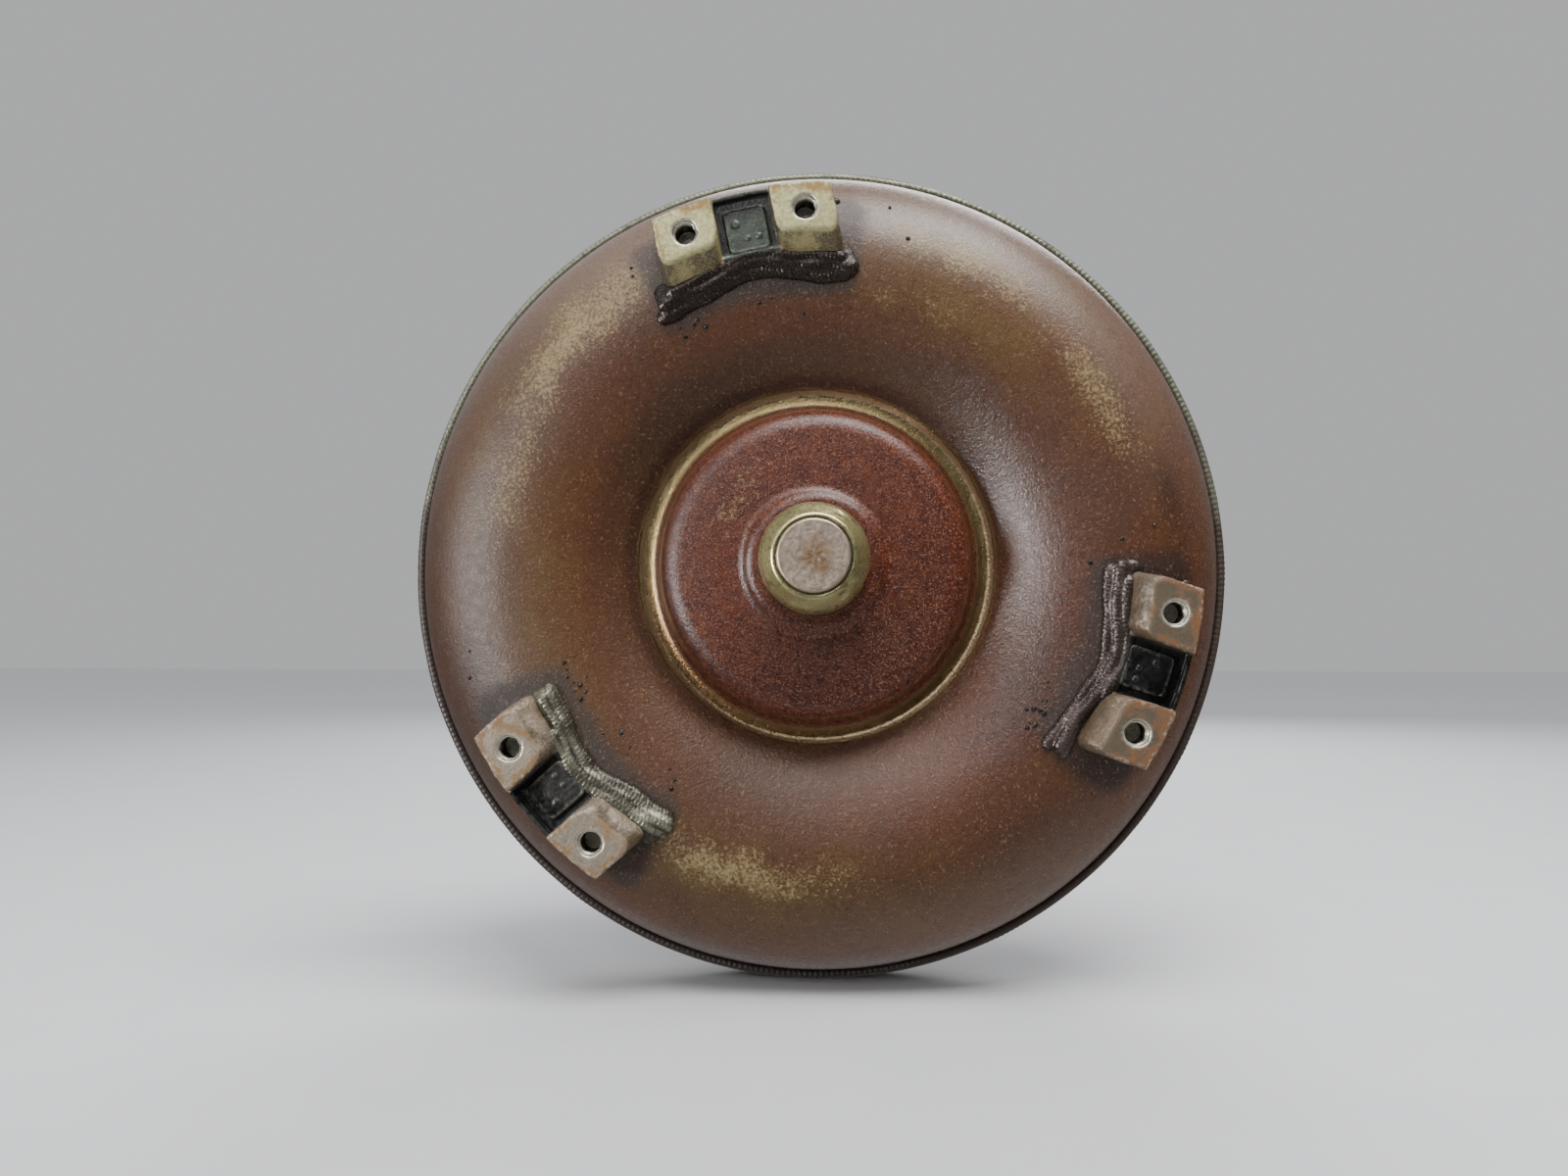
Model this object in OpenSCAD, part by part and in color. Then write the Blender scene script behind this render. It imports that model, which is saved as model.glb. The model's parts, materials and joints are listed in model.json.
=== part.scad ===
// Torque converter without a lock-up clutch, as a welded housing around a turbine and a stator.
// The shapes are turned about a local +Z axis that points to the engine, then laid down by
// in_row(), so that the engine side faces -Y and +Z is up.
// The origin is on the axis, in the plane of the seam between the two housing halves.

/* [Housing] */
// Outer radius of the seam band around the rim
rim_r = 143; // [141:0.5:146]
// Wall of the front cover
cover_wall = 4.5; // [4:0.1:5]
// Wall of the impeller shell
shell_wall = 3; // [2.6:0.1:3.4]
// Radius of the circle through the middle of the cover's round bulge
bulge_r = 102; // [101:0.5:103]
// Radius of the long arc from the crest of the bulge in towards the groove
dish_r = 62; // [61:0.5:63]
// Slope at the inner end of that arc, in degrees
dish_slope = 38; // [37.5:0.5:39]
// Depth of the impeller hub behind the seam plane
hub_reach = 72; // [68:1:90]
// Outer radius of the impeller hub
hub_r = 24; // [23.5:0.1:25]
// Bore radius of the impeller hub
hub_bore_r = 20.5; // [20.2:0.1:21]

/* [Pilot] */
// Radius of the pilot that enters the crankshaft
pilot_r = 17.5; // [16:0.1:18]
// Height of the pilot's end face in front of the seam plane
pilot_reach = 60.5; // [56:0.5:66]

/* [Drive lugs] */
// Radius of the circle through the drive bolts
bolt_circle_r = 115; // [113:0.5:117]
// Half of the angle between the two bolts of one lug
bolt_half_angle = 10; // [9:0.1:11]
// Height of the lug faces in front of the seam plane
lug_face_z = 42; // [40:0.5:44]
// Direction of the first lug, in degrees from +X
lug_phase = 101.6; // [0:0.1:119]
// Radius of the tapping hole for the drive bolts
bolt_hole_r = 3.4; // [3.2:0.1:4]
// Width of one lug pad
pad_w = 20.5; // [18:0.5:22]

/* [Flow circuit] */
// Radius of the circle through the middle of the flow circuit
circuit_r = 100; // [99.5:0.1:100.5]
// Outer section radius of the turbine shell
turbine_section_r = 31; // [30:0.1:31.2]
// Section radius of the core rings
core_section_r = 13; // [12:0.5:14]
// Number of impeller blades
impeller_blade_count = 31; // [23:1:35]
// Number of turbine blades
turbine_blade_count = 29; // [21:1:33]
// Number of stator blades
stator_blade_count = 17; // [11:1:21]

/* [One-way clutch] */
// Outer radius of the inner race
inner_race_r = 29; // [28.5:0.1:29.2]
// Radius of a clutch roller
roller_r = 3.5; // [3.3:0.1:3.6]
// Number of clutch rollers
roller_count = 12; // [8:1:13]

/* [Hidden] */
$fn = 96;
// Angle of one step along a rounded corner of an outline
arc_step = 5;
// Small gap between parts that are pressed or welded together
seat_gap = 0.05;
// Axial gap on each side of a needle bearing
run_gap = 0.05;

// Front cover
skirt_r = rim_r - shell_wall - seat_gap;
skirt_end_z = -10.5;
bulge_z = -5;
crest_z = bulge_z + skirt_r - bulge_r;
dish_corner_r = bulge_r - dish_r * tan(dish_slope / 2);
groove_z = 15.9;
groove_outer_r = dish_corner_r - (crest_z - groove_z) / tan(dish_slope);
groove_inner_r = 54;
plateau_r = 50;
plateau_z = 31.5;
collar_r = 21.6;
collar_z = 34.3;
pilot_seat_r = pilot_r + 0.25;
// Outline of the cover from the skirt to the pilot: radius, height, corner radius
cover_outline = [
    [skirt_r, skirt_end_z, 0],
    [skirt_r, crest_z, skirt_r - bulge_r],
    [dish_corner_r, crest_z, dish_r],
    [groove_outer_r, groove_z, 2.5],
    [groove_inner_r, groove_z, 4],
    [plateau_r, plateau_z, 8],
    [collar_r + 2.8, plateau_z + 0.1, 4],
    [collar_r, collar_z, 4.5],
    [pilot_seat_r + seat_gap, collar_z, 0]];

// Impeller shell
shell_flange_z = -24;
shell_bore_r = 34;
shell_crest_z = -42;
// Outline of the impeller shell from the rim to the hub: radius, height, corner radius
shell_outline = [
    [rim_r, 0, 0],
    [rim_r, -14, 4],
    [rim_r - 10.5, -17.5, 3],
    [rim_r - 12.5, shell_crest_z + 3, 23],
    [circuit_r, shell_crest_z, 60],
    [76, shell_crest_z + 5, 18],
    [56, shell_flange_z, 8],
    [shell_bore_r, shell_flange_z, 0]];

// Pilot
pilot_face_r = 11.6;
pilot_shoulder_z = pilot_reach - 11.5;
pilot_flange_r = 24;
pilot_flange_wall = 2.6;
cover_inner_z = plateau_z - cover_wall;
pilot_back_z = cover_inner_z - pilot_flange_wall;

// Drive lugs
lug_outer_r = 123.3;
lug_inner_r = 98;
pad_inner_r = 107;
pocket_half_w = 9.5;
pocket_floor_z = 36.2;
lug_half_w = pocket_half_w + pad_w;
bolt_hole_depth = 10;
lug_gap = 0.02;
bead_r = 3.2;

// Axial stack through the middle, from the impeller hub to the pilot
circuit_z = -5;
clutch_half_w = 10.5;
plate_wall = 1.5;
needle_r = 1;
race_wall = 1;
clutch_front_z = circuit_z + clutch_half_w;
clutch_rear_z = circuit_z - clutch_half_w;
front_needle_z = clutch_front_z + plate_wall + run_gap + needle_r;
rear_needle_z = clutch_rear_z - plate_wall - run_gap - needle_r;
turbine_face_z = front_needle_z + needle_r + run_gap + race_wall;
hub_face_z = rear_needle_z - needle_r - run_gap - race_wall;
thrust_washer_wall = 2;
turbine_nose_z = pilot_back_z - thrust_washer_wall - 0.1;

// Flow circuit
turbine_wall = 2;
core_wall = 1.2;
blade_wall = 1.2;
blade_seat = 0.3;
half_gap = 1.5;
stator_room = 10.5;
stator_split_r = 91.2;
turbine_flange_r = 40;

// Stator and one-way clutch
outer_race_r = 46;
outer_race_bore_r = 34;
roller_pitch_r = inner_race_r + roller_r + 0.04;
roller_half_len = 9.5;
stator_hub_r = 70.5;
stator_ring_r = 88;
stator_ring_wall = 2.4;
stator_half_w = 7;
snap_ring_w = 1.4;

// Turbine hub
turbine_hub_flange_r = 48;
turbine_hub_flange_wall = 5;
rivet_circle_r = 44;
rivet_r = 2.5;
rivet_count = 12;

// Needle bearings
needle_count = 24;
needle_pitch_r = 28;
needle_len = 5;
cage_inner_r = 24.2;
cage_outer_r = 32;
cage_wall = 1.4;

// Drain plug, on the impeller shell's outer shoulder
drain_angle = 38;
drain_place = [125.6, -35.2];
drain_tilt = 135;

// Lays a shape that is turned about local +Z down into the part's own frame
module in_row()
{
    rotate([90, 0, 0])
        children();
}

function unit(v) = v / norm(v);
function left_of(v) = [-v[1], v[0]];
function flat(p) = [p[0], p[1]];
function turn(u, v) = sign(u[0] * v[1] - u[1] * v[0]);

// Points of the arc that rounds corner q between its neighbours p and s
function corner_arc(p, q, s, r) =
    let (u = unit(p - q), v = unit(s - q), half = acos(u * v) / 2)
    let (reach = r / tan(half), middle = q + unit(u + v) * r / sin(half))
    let (from = q + u * reach - middle, to = q + v * reach - middle)
    let (a = atan2(from[1], from[0]), sweep = (atan2(to[1], to[0]) - a + 540) % 360 - 180)
    let (steps = max(2, ceil(abs(sweep) / arc_step)))
    [for (i = [0 : steps]) middle + r * [cos(a + sweep * i / steps), sin(a + sweep * i / steps)]];

// An outline with its corners rounded
function rounded(c) = [for (i = [0 : len(c) - 1])
    each (c[i][2] > 0
        ? corner_arc(flat(c[i - 1]), flat(c[i]), flat(c[i + 1]), c[i][2])
        : [flat(c[i])])];

// The same outline moved d to its left, with its corner radii kept concentric
function moved(c, d) = [for (i = [0 : len(c) - 1])
    let (last = len(c) - 1)
    let (u = unit(flat(c[min(i + 1, last)]) - flat(c[min(i, last - 1)])))
    let (v = unit(flat(c[max(i, 1)]) - flat(c[max(i - 1, 0)])))
    let (m = left_of(u) + left_of(v), side = turn(v, u))
    let (q = flat(c[i]) + m * d / (1 + u * v))
    [q[0], q[1], c[i][2] > 0 ? c[i][2] - side * d : 0]];

function reversed(c) = [for (i = [len(c) - 1 : -1 : 0]) c[i]];

// Ring of even wall that follows an outline
module wall_of(outline, d)
{
    rotate_extrude()
        polygon(concat(rounded(outline), reversed(rounded(moved(outline, d)))));
}

// Plain washer
module washer(inner_r, outer_r, wall)
{
    linear_extrude(wall)
        difference()
        {
            circle(outer_r);
            circle(inner_r);
        }
}

// Bore with straight-sided splines
module spline_bore(minor_r, depth, teeth, length)
{
    linear_extrude(length)
    {
        circle(minor_r);
        for (i = [0 : teeth - 1])
            rotate(i * 360 / teeth)
                translate([minor_r - 1, -depth * 0.6])
                    square([depth + 1, depth * 1.2]);
    }
}

module front_cover()
{
    color("#5f4138")
        in_row()
            wall_of(cover_outline, cover_wall);
}

// Turned pilot with a rounded shoulder, a small step around its face and a flange behind
module pilot_boss()
{
    shoulder = [
        [0, pilot_back_z, 0],
        [pilot_flange_r, pilot_back_z, 0],
        [pilot_flange_r, cover_inner_z - seat_gap, 0],
        [pilot_seat_r, cover_inner_z - seat_gap, 0],
        [pilot_seat_r, collar_z, 0],
        [pilot_r, collar_z, 0],
        [pilot_r, pilot_shoulder_z + 3, 6],
        [pilot_face_r + 0.9, pilot_reach - 0.6, 2],
        [pilot_face_r, pilot_reach - 0.6, 0],
        [pilot_face_r - 0.3, pilot_reach, 0],
        [0, pilot_reach, 0]];
    color("#a9a58a")
        in_row()
            rotate_extrude()
                polygon(rounded(shoulder));
}

// Solid filled under the cover's outer face, a little proud of it
module cover_filled()
{
    proud = rounded(moved(cover_outline, -lug_gap));
    rotate_extrude()
        polygon(concat(proud, [[0, collar_z], [0, skirt_end_z]]));
}

// One drive lug: two tapped pads with a pocket between them
module drive_lug(number)
{
    pad_outline = [
        [lug_inner_r, 20], [lug_outer_r, 20], [lug_outer_r, lug_face_z],
        [pad_inner_r, lug_face_z], [pad_inner_r - 5, lug_face_z - 3.6],
        [lug_inner_r, lug_face_z - 7.6]];
    color("#8d8676")
        in_row()
            rotate([0, 0, lug_phase + 120 * number])
                difference()
                {
                    intersection()
                    {
                        rotate_extrude(angle = 44, start = -22)
                            polygon(pad_outline);
                        translate([lug_inner_r - 20, -lug_half_w, 0])
                            cube([60, 2 * lug_half_w, lug_face_z + 1]);
                    }
                    translate([lug_inner_r + 4, -pocket_half_w, pocket_floor_z])
                        cube([lug_outer_r - lug_inner_r - 7, 2 * pocket_half_w, 20]);
                    translate([lug_inner_r - 1, -pocket_half_w, pocket_floor_z + 0.9])
                        cube([40, 2 * pocket_half_w, 20]);
                    for (side = [-1, 1])
                        rotate([0, 0, side * bolt_half_angle])
                            translate([bolt_circle_r, 0, lug_face_z - bolt_hole_depth])
                            {
                                cylinder(r = bolt_hole_r, h = bolt_hole_depth + 1);
                                translate([0, 0, bolt_hole_depth - 1])
                                    cylinder(r1 = bolt_hole_r, r2 = bolt_hole_r + 2, h = 2);
                            }
                    cover_filled();
                }
}

module drive_lug_top()
{
    drive_lug(0);
}

module drive_lug_left()
{
    drive_lug(1);
}

module drive_lug_right()
{
    drive_lug(2);
}

// Fillet weld along the inner edge of each lug, with a tack at each end
module lug_welds()
{
    bead_angle = 41;
    bead_place = [lug_inner_r - 0.6, 32.6];
    color("#4b4a44")
        in_row()
            for (number = [0 : 2])
                rotate([0, 0, lug_phase + 120 * number - bead_angle / 2])
                {
                    rotate_extrude(angle = bead_angle)
                        translate(bead_place)
                            circle(bead_r);
                    for (end = [0, bead_angle])
                        rotate([0, 0, end])
                            translate([bead_place[0], 0, bead_place[1]])
                                sphere(bead_r + 0.6);
                }
}

// Round seam that joins the two housing halves
module seam_weld()
{
    color("#77755f")
        in_row()
            rotate_extrude()
                translate([rim_r - shell_wall / 2, -0.2])
                    circle(1.45);
}

module impeller_shell()
{
    color("#5a3f36")
        in_row()
            wall_of(shell_outline, -shell_wall);
}

// Space between the impeller shell and the core ring, where the blades stand
module impeller_passage()
{
    seat = rounded(moved(shell_outline, -(shell_wall - blade_seat)));
    inner_edge_r = 73;
    outer_edge_r = rim_r - 14;
    rotate_extrude()
        difference()
        {
            intersection()
            {
                polygon(concat(seat, [[shell_bore_r, 0]]));
                translate([inner_edge_r, -60])
                    square([outer_edge_r - inner_edge_r, 60 + circuit_z - half_gap]);
            }
            translate([circuit_r, circuit_z])
                circle(core_section_r - core_wall - blade_seat);
            translate([inner_edge_r - 1, circuit_z - stator_room])
                square([stator_split_r - inner_edge_r + 1, 20]);
        }
}

// Space between the turbine shell and the core ring, where the blades stand
module turbine_passage()
{
    rotate_extrude()
        difference()
        {
            translate([circuit_r, circuit_z])
                circle(turbine_section_r - turbine_wall + blade_seat);
            translate([circuit_r, circuit_z])
                circle(core_section_r - core_wall - blade_seat);
            translate([circuit_r - 40, circuit_z - 60])
                square([80, 60 + half_gap]);
            translate([circuit_r - 40, circuit_z - 5])
                square([stator_split_r - circuit_r + 40, stator_room + 5]);
        }
}

// One curved sheet that crosses the circuit from its inner to its outer radius
module blade_sheet(bend_r, side)
{
    reach = 42;
    translate([circuit_r - 2, side * bend_r, 0])
        linear_extrude(90, center = true)
            intersection()
            {
                difference()
                {
                    circle(bend_r + blade_wall / 2);
                    circle(bend_r - blade_wall / 2);
                }
                translate([-reach, side > 0 ? -bend_r - 5 : 0])
                    square([2 * reach, bend_r + 5]);
            }
}

module impeller_blades()
{
    bend_r = 95;
    color("#8b8a84")
        in_row()
            for (i = [0 : impeller_blade_count - 1])
                rotate([0, 0, i * 360 / impeller_blade_count])
                    intersection()
                    {
                        impeller_passage();
                        blade_sheet(bend_r, 1);
                    }
}

module turbine_blades()
{
    bend_r = 70;
    color("#8f8e88")
        in_row()
            for (i = [0 : turbine_blade_count - 1])
                rotate([0, 0, i * 360 / turbine_blade_count])
                    intersection()
                    {
                        turbine_passage();
                        blade_sheet(bend_r, -1);
                    }
}

// Half of the core ring, on one side of the circuit's middle plane
module core_ring(side)
{
    rotate_extrude()
        intersection()
        {
            translate([circuit_r, circuit_z])
                difference()
                {
                    circle(core_section_r);
                    circle(core_section_r - core_wall);
                }
            translate([stator_split_r, side > 0 ? circuit_z + half_gap : circuit_z - half_gap - 30])
                square([40, 30]);
        }
}

module impeller_core_ring()
{
    color("#7c7b75")
        in_row()
            core_ring(-1);
}

module turbine_core_ring()
{
    color("#7c7b75")
        in_row()
            core_ring(1);
}

// Hub that is welded into the impeller shell and drives the transmission's oil pump
module impeller_hub()
{
    slot_w = 9;
    slot_depth = 11;
    flange_r = shell_bore_r - seat_gap;
    outline = [
        [hub_bore_r, -hub_reach], [hub_r - 1, -hub_reach], [hub_r, -hub_reach + 1],
        [hub_r, shell_flange_z - 6], [hub_r + 3, shell_flange_z - 3], [flange_r, shell_flange_z - 3],
        [flange_r, hub_face_z], [hub_bore_r, hub_face_z]];
    color("#a6a59e")
        in_row()
            difference()
            {
                rotate_extrude()
                    polygon(outline);
                translate([-hub_r - 5, -slot_w / 2, -hub_reach - 5])
                    cube([2 * hub_r + 10, slot_w, slot_depth + 5]);
            }
}

module hub_weld()
{
    color("#565049")
        in_row()
            rotate_extrude()
                translate([shell_bore_r, shell_flange_z - 0.4])
                    circle(2.2);
}

// Carries a shape to the drain plug's seat, with +Z out of the housing
module at_drain()
{
    rotate([0, 0, drain_angle])
        translate([drain_place[0], 0, drain_place[1]])
            rotate([0, drain_tilt, 0])
                children();
}

module drain_boss()
{
    color("#6a5a4e")
        in_row()
            at_drain()
                difference()
                {
                    translate([0, 0, -2.6])
                        cylinder(r = 9, h = 4.6);
                    translate([0, 0, -4])
                        cylinder(r = 4 + seat_gap, h = 8);
                }
}

module drain_plug_seal()
{
    color("#a5673f")
        in_row()
            at_drain()
                translate([0, 0, 2 + seat_gap])
                    washer(4.3, 6.6, 1);
}

module drain_plug()
{
    head_z = 3.1;
    color("#85837a")
        in_row()
            at_drain()
                difference()
                {
                    union()
                    {
                        translate([0, 0, -2.5])
                            cylinder(r = 4, h = head_z + 3);
                        translate([0, 0, head_z])
                            cylinder(r = 6.4, h = 3.4);
                        translate([0, 0, head_z + 3.4])
                            cylinder(r1 = 6.4, r2 = 5.8, h = 0.6);
                    }
                    translate([0, 0, head_z - 0.5])
                        cylinder(r = 2.9, h = 6, $fn = 6);
                }
}

// Plates welded to the impeller shell to balance the housing
module balance_weights()
{
    plate_angle = 13;
    plate_z = shell_crest_z - 0.9;
    plate_outline = [
        [circuit_r - 5, plate_z], [circuit_r + 5, plate_z + 0.3],
        [circuit_r + 5, plate_z + 3], [circuit_r - 5, plate_z + 3]];
    color("#6f6a60")
        in_row()
            for (place = [150, 171])
                rotate([0, 0, place])
                    rotate_extrude(angle = plate_angle)
                        polygon(plate_outline);
}

module rear_bearing_race()
{
    color("#b3b3ae")
        in_row()
            translate([0, 0, hub_face_z])
                washer(cage_inner_r, cage_outer_r + 0.8, race_wall);
}

module front_bearing_race()
{
    color("#b3b3ae")
        in_row()
            translate([0, 0, turbine_face_z - race_wall])
                washer(cage_inner_r, cage_outer_r + 0.8, race_wall);
}

// Turbine shell: half a ring round the circuit with a flange for the hub
module turbine_shell()
{
    color("#8a8a86")
        in_row()
            difference()
            {
                rotate_extrude()
                {
                    difference()
                    {
                        translate([circuit_r, circuit_z])
                            circle(turbine_section_r);
                        translate([circuit_r, circuit_z])
                            circle(turbine_section_r - turbine_wall);
                        translate([circuit_r - 40, circuit_z - 60])
                            square([80, 60 + half_gap]);
                        translate([circuit_r - 40, circuit_z - 5])
                            square([30, turbine_face_z - turbine_wall - circuit_z + 5]);
                    }
                    translate([turbine_flange_r, turbine_face_z - turbine_wall])
                        square([73 - turbine_flange_r, turbine_wall]);
                }
                rivet_holes(turbine_face_z - turbine_wall - 1, 4);
            }
}

module rivet_holes(z, h)
{
    for (i = [0 : rivet_count - 1])
        rotate([0, 0, i * 360 / rivet_count])
            translate([rivet_circle_r, 0, z])
                cylinder(r = rivet_r + seat_gap, h = h);
}

module turbine_hub()
{
    boss_r = 20;
    flange_front_z = turbine_face_z + turbine_hub_flange_wall;
    spline_minor_r = 12.4;
    outline = [
        [8, turbine_face_z - 2], [boss_r - 1, turbine_face_z - 2], [boss_r, turbine_face_z - 1],
        [boss_r, turbine_face_z + seat_gap], [turbine_hub_flange_r, turbine_face_z + seat_gap],
        [turbine_hub_flange_r, flange_front_z - 1.5], [turbine_hub_flange_r - 2, flange_front_z],
        [boss_r + 3, flange_front_z], [boss_r, flange_front_z + 3], [boss_r, turbine_nose_z],
        [8, turbine_nose_z]];
    color("#9b9a94")
        in_row()
            difference()
            {
                rotate_extrude()
                    polygon(outline);
                translate([0, 0, turbine_face_z - 3])
                    spline_bore(spline_minor_r, 1.2, 24, 30);
                rivet_holes(turbine_face_z - 1, 9);
            }
}

module turbine_rivets()
{
    rear_z = turbine_face_z - turbine_wall;
    front_z = turbine_face_z + turbine_hub_flange_wall;
    color("#77766f")
        in_row()
            for (i = [0 : rivet_count - 1])
                rotate([0, 0, i * 360 / rivet_count])
                    translate([rivet_circle_r, 0, 0])
                    {
                        translate([0, 0, rear_z - 0.9])
                            cylinder(r = 3.4, h = 0.9);
                        translate([0, 0, rear_z - 0.9])
                            cylinder(r = rivet_r, h = front_z - rear_z + 2.2);
                        translate([0, 0, front_z + 0.05])
                            cylinder(r1 = 4, r2 = 2.6, h = 1.6);
                    }
}

module turbine_thrust_washer()
{
    oil_groove_w = 3;
    color("#b08d4c")
        in_row()
            translate([0, 0, turbine_nose_z + seat_gap])
                difference()
                {
                    washer(13.6, 19.6, thrust_washer_wall);
                    for (i = [0 : 3])
                        rotate([0, 0, i * 90])
                            translate([0, -oil_groove_w / 2, thrust_washer_wall - 0.6])
                                cube([25, oil_groove_w, 2]);
                }
}

// Cast stator: hub, web and ring, with curved blades between hub and ring
module stator_wheel()
{
    web_half_w = 4;
    groove_depth = 1.2;
    front_rim = 1.2;
    rear_rim = plate_wall + snap_ring_w + 0.3;
    color("#b9bab6")
        in_row()
            translate([0, 0, circuit_z])
            {
                rotate_extrude()
                    difference()
                    {
                        union()
                        {
                            translate([outer_race_r + seat_gap, -clutch_half_w - rear_rim])
                                square([6, 2 * clutch_half_w + rear_rim + front_rim]);
                            translate([outer_race_r + 5, -web_half_w])
                                square([17, 2 * web_half_w]);
                            translate([stator_hub_r - 4.5, -stator_half_w - 1])
                                square([4.5, 2 * stator_half_w + 2]);
                        }
                        translate([outer_race_r - 1, -clutch_half_w - plate_wall - snap_ring_w])
                            square([1 + groove_depth + seat_gap, snap_ring_w]);
                    }
                rotate_extrude()
                    translate([stator_ring_r, -stator_half_w])
                        square([stator_ring_wall, 2 * stator_half_w]);
                for (i = [0 : stator_blade_count - 1])
                    rotate([0, 0, i * 360 / stator_blade_count])
                        stator_blade();
            }
}

// One stator blade: the part of a curved sheet that lies between two turned faces
module stator_blade()
{
    bend_r = 13;
    thickness = 3.2;
    intersection()
    {
        rotate_extrude()
            translate([stator_hub_r - 0.5, -stator_half_w])
                square([stator_ring_r - stator_hub_r + 1, 2 * stator_half_w]);
        translate([stator_hub_r - 4, -bend_r + 2, 2])
            rotate([0, 90, 0])
                linear_extrude(26)
                    intersection()
                    {
                        difference()
                        {
                            circle(bend_r);
                            translate([1.4, -1])
                                circle(bend_r - thickness / 2);
                        }
                        translate([-bend_r, 0])
                            square([2 * bend_r, bend_r]);
                    }
    }
}

// Cam race with one pocket for each roller, deeper towards its spring end
module clutch_outer_race()
{
    pocket_r = roller_r + 0.06;
    color("#6f6f6b")
        in_row()
            translate([0, 0, clutch_rear_z])
                linear_extrude(2 * clutch_half_w)
                    difference()
                    {
                        circle(outer_race_r);
                        circle(outer_race_bore_r);
                        for (i = [0 : roller_count - 1])
                            rotate(i * 360 / roller_count)
                            {
                                translate([roller_pitch_r, 0])
                                    circle(pocket_r);
                                translate([roller_pitch_r - 2, 0])
                                    square([2 + pocket_r - 0.05, 8.4]);
                            }
                    }
}

module clutch_rollers()
{
    color("#c4c4c0")
        in_row()
            for (i = [0 : roller_count - 1])
                rotate([0, 0, i * 360 / roller_count])
                    translate([roller_pitch_r, 0, circuit_z - roller_half_len])
                        cylinder(r = roller_r, h = 2 * roller_half_len);
}

// Folded strip springs that push the rollers into the narrow end of their pockets
module clutch_springs()
{
    strip = 0.3;
    folds = 4;
    pitch = 0.9;
    reach = 2.2;
    fold_x = roller_pitch_r + 0.6;
    color("#9a9a94")
        in_row()
            translate([0, 0, circuit_z - 6])
                linear_extrude(12)
                    for (i = [0 : roller_count - 1])
                        rotate(i * 360 / roller_count)
                            translate([fold_x, roller_r + 0.5])
                                for (k = [0 : folds - 1])
                                {
                                    translate([0, k * pitch])
                                        square([reach, strip]);
                                    if (k < folds - 1)
                                        translate([k % 2 == 0 ? reach - strip : 0, k * pitch])
                                            square([strip, pitch + strip]);
                                }
}

module clutch_front_plate()
{
    color("#93938d")
        in_row()
            translate([0, 0, clutch_front_z + 0.02])
                washer(22, outer_race_r - 0.2, plate_wall - 0.02);
}

module clutch_rear_plate()
{
    color("#93938d")
        in_row()
            translate([0, 0, clutch_rear_z - plate_wall])
                washer(22, outer_race_r - 0.2, plate_wall - 0.02);
}

// Snap ring that holds the clutch in the stator, open at one place
module stator_snap_rings()
{
    color("#5e5e5a")
        in_row()
            translate([0, 0, clutch_rear_z - plate_wall - snap_ring_w + 0.05])
                linear_extrude(snap_ring_w - 0.1)
                    difference()
                    {
                        circle(outer_race_r + 1);
                        circle(outer_race_r - 1.6);
                        translate([0, -4])
                            square([60, 8]);
                    }
}

module clutch_inner_race()
{
    spline_minor_r = 18.6;
    color("#8e8e89")
        in_row()
            translate([0, 0, clutch_rear_z + 0.1])
                difference()
                {
                    cylinder(r = inner_race_r, h = 2 * clutch_half_w - 0.2);
                    translate([0, 0, -1])
                        spline_bore(spline_minor_r, 1.3, 30, 2 * clutch_half_w + 2);
                }
}

// Cage of a needle thrust bearing, with a window for each needle
module needle_cage(z)
{
    window_w = 2 * needle_r + 0.12;
    translate([0, 0, z - cage_wall / 2])
        linear_extrude(cage_wall)
            difference()
            {
                circle(cage_outer_r);
                circle(cage_inner_r);
                for (i = [0 : needle_count - 1])
                    rotate(i * 360 / needle_count)
                        translate([needle_pitch_r - needle_len / 2 - 0.1, -window_w / 2])
                            square([needle_len + 0.2, window_w]);
            }
}

module needle_ring(z)
{
    for (i = [0 : needle_count - 1])
        rotate([0, 0, i * 360 / needle_count])
            translate([needle_pitch_r - needle_len / 2, 0, z])
                rotate([0, 90, 0])
                    cylinder(r = needle_r, h = needle_len);
}

module front_bearing_cage()
{
    color("#c0a15c")
        in_row()
            needle_cage(front_needle_z);
}

module front_bearing_needles()
{
    color("#cfcfca")
        in_row()
            needle_ring(front_needle_z);
}

module rear_bearing_cage()
{
    color("#c0a15c")
        in_row()
            needle_cage(rear_needle_z);
}

module rear_bearing_needles()
{
    color("#cfcfca")
        in_row()
            needle_ring(rear_needle_z);
}

front_cover();
pilot_boss();
drive_lug_top();
drive_lug_left();
drive_lug_right();
lug_welds();
seam_weld();
impeller_shell();
impeller_blades();
impeller_core_ring();
impeller_hub();
hub_weld();
drain_boss();
drain_plug();
drain_plug_seal();
balance_weights();
rear_bearing_race();
turbine_shell();
turbine_blades();
turbine_core_ring();
turbine_hub();
turbine_rivets();
turbine_thrust_washer();
front_bearing_race();
stator_wheel();
clutch_outer_race();
clutch_rollers();
clutch_springs();
clutch_front_plate();
clutch_rear_plate();
stator_snap_rings();
clutch_inner_race();
front_bearing_cage();
front_bearing_needles();
rear_bearing_cage();
rear_bearing_needles();
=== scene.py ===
"""Looks of a used torque converter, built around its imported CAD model.

Shapes are worked out in millimetres about a local +Z axis that points to the engine, and
to_row() lays them down into the shared frame, in metres. Angles are in degrees from +X,
anticlockwise as seen from the engine.
"""

import json
import math

import bpy
import numpy as np
from mathutils import Matrix, Vector


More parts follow.
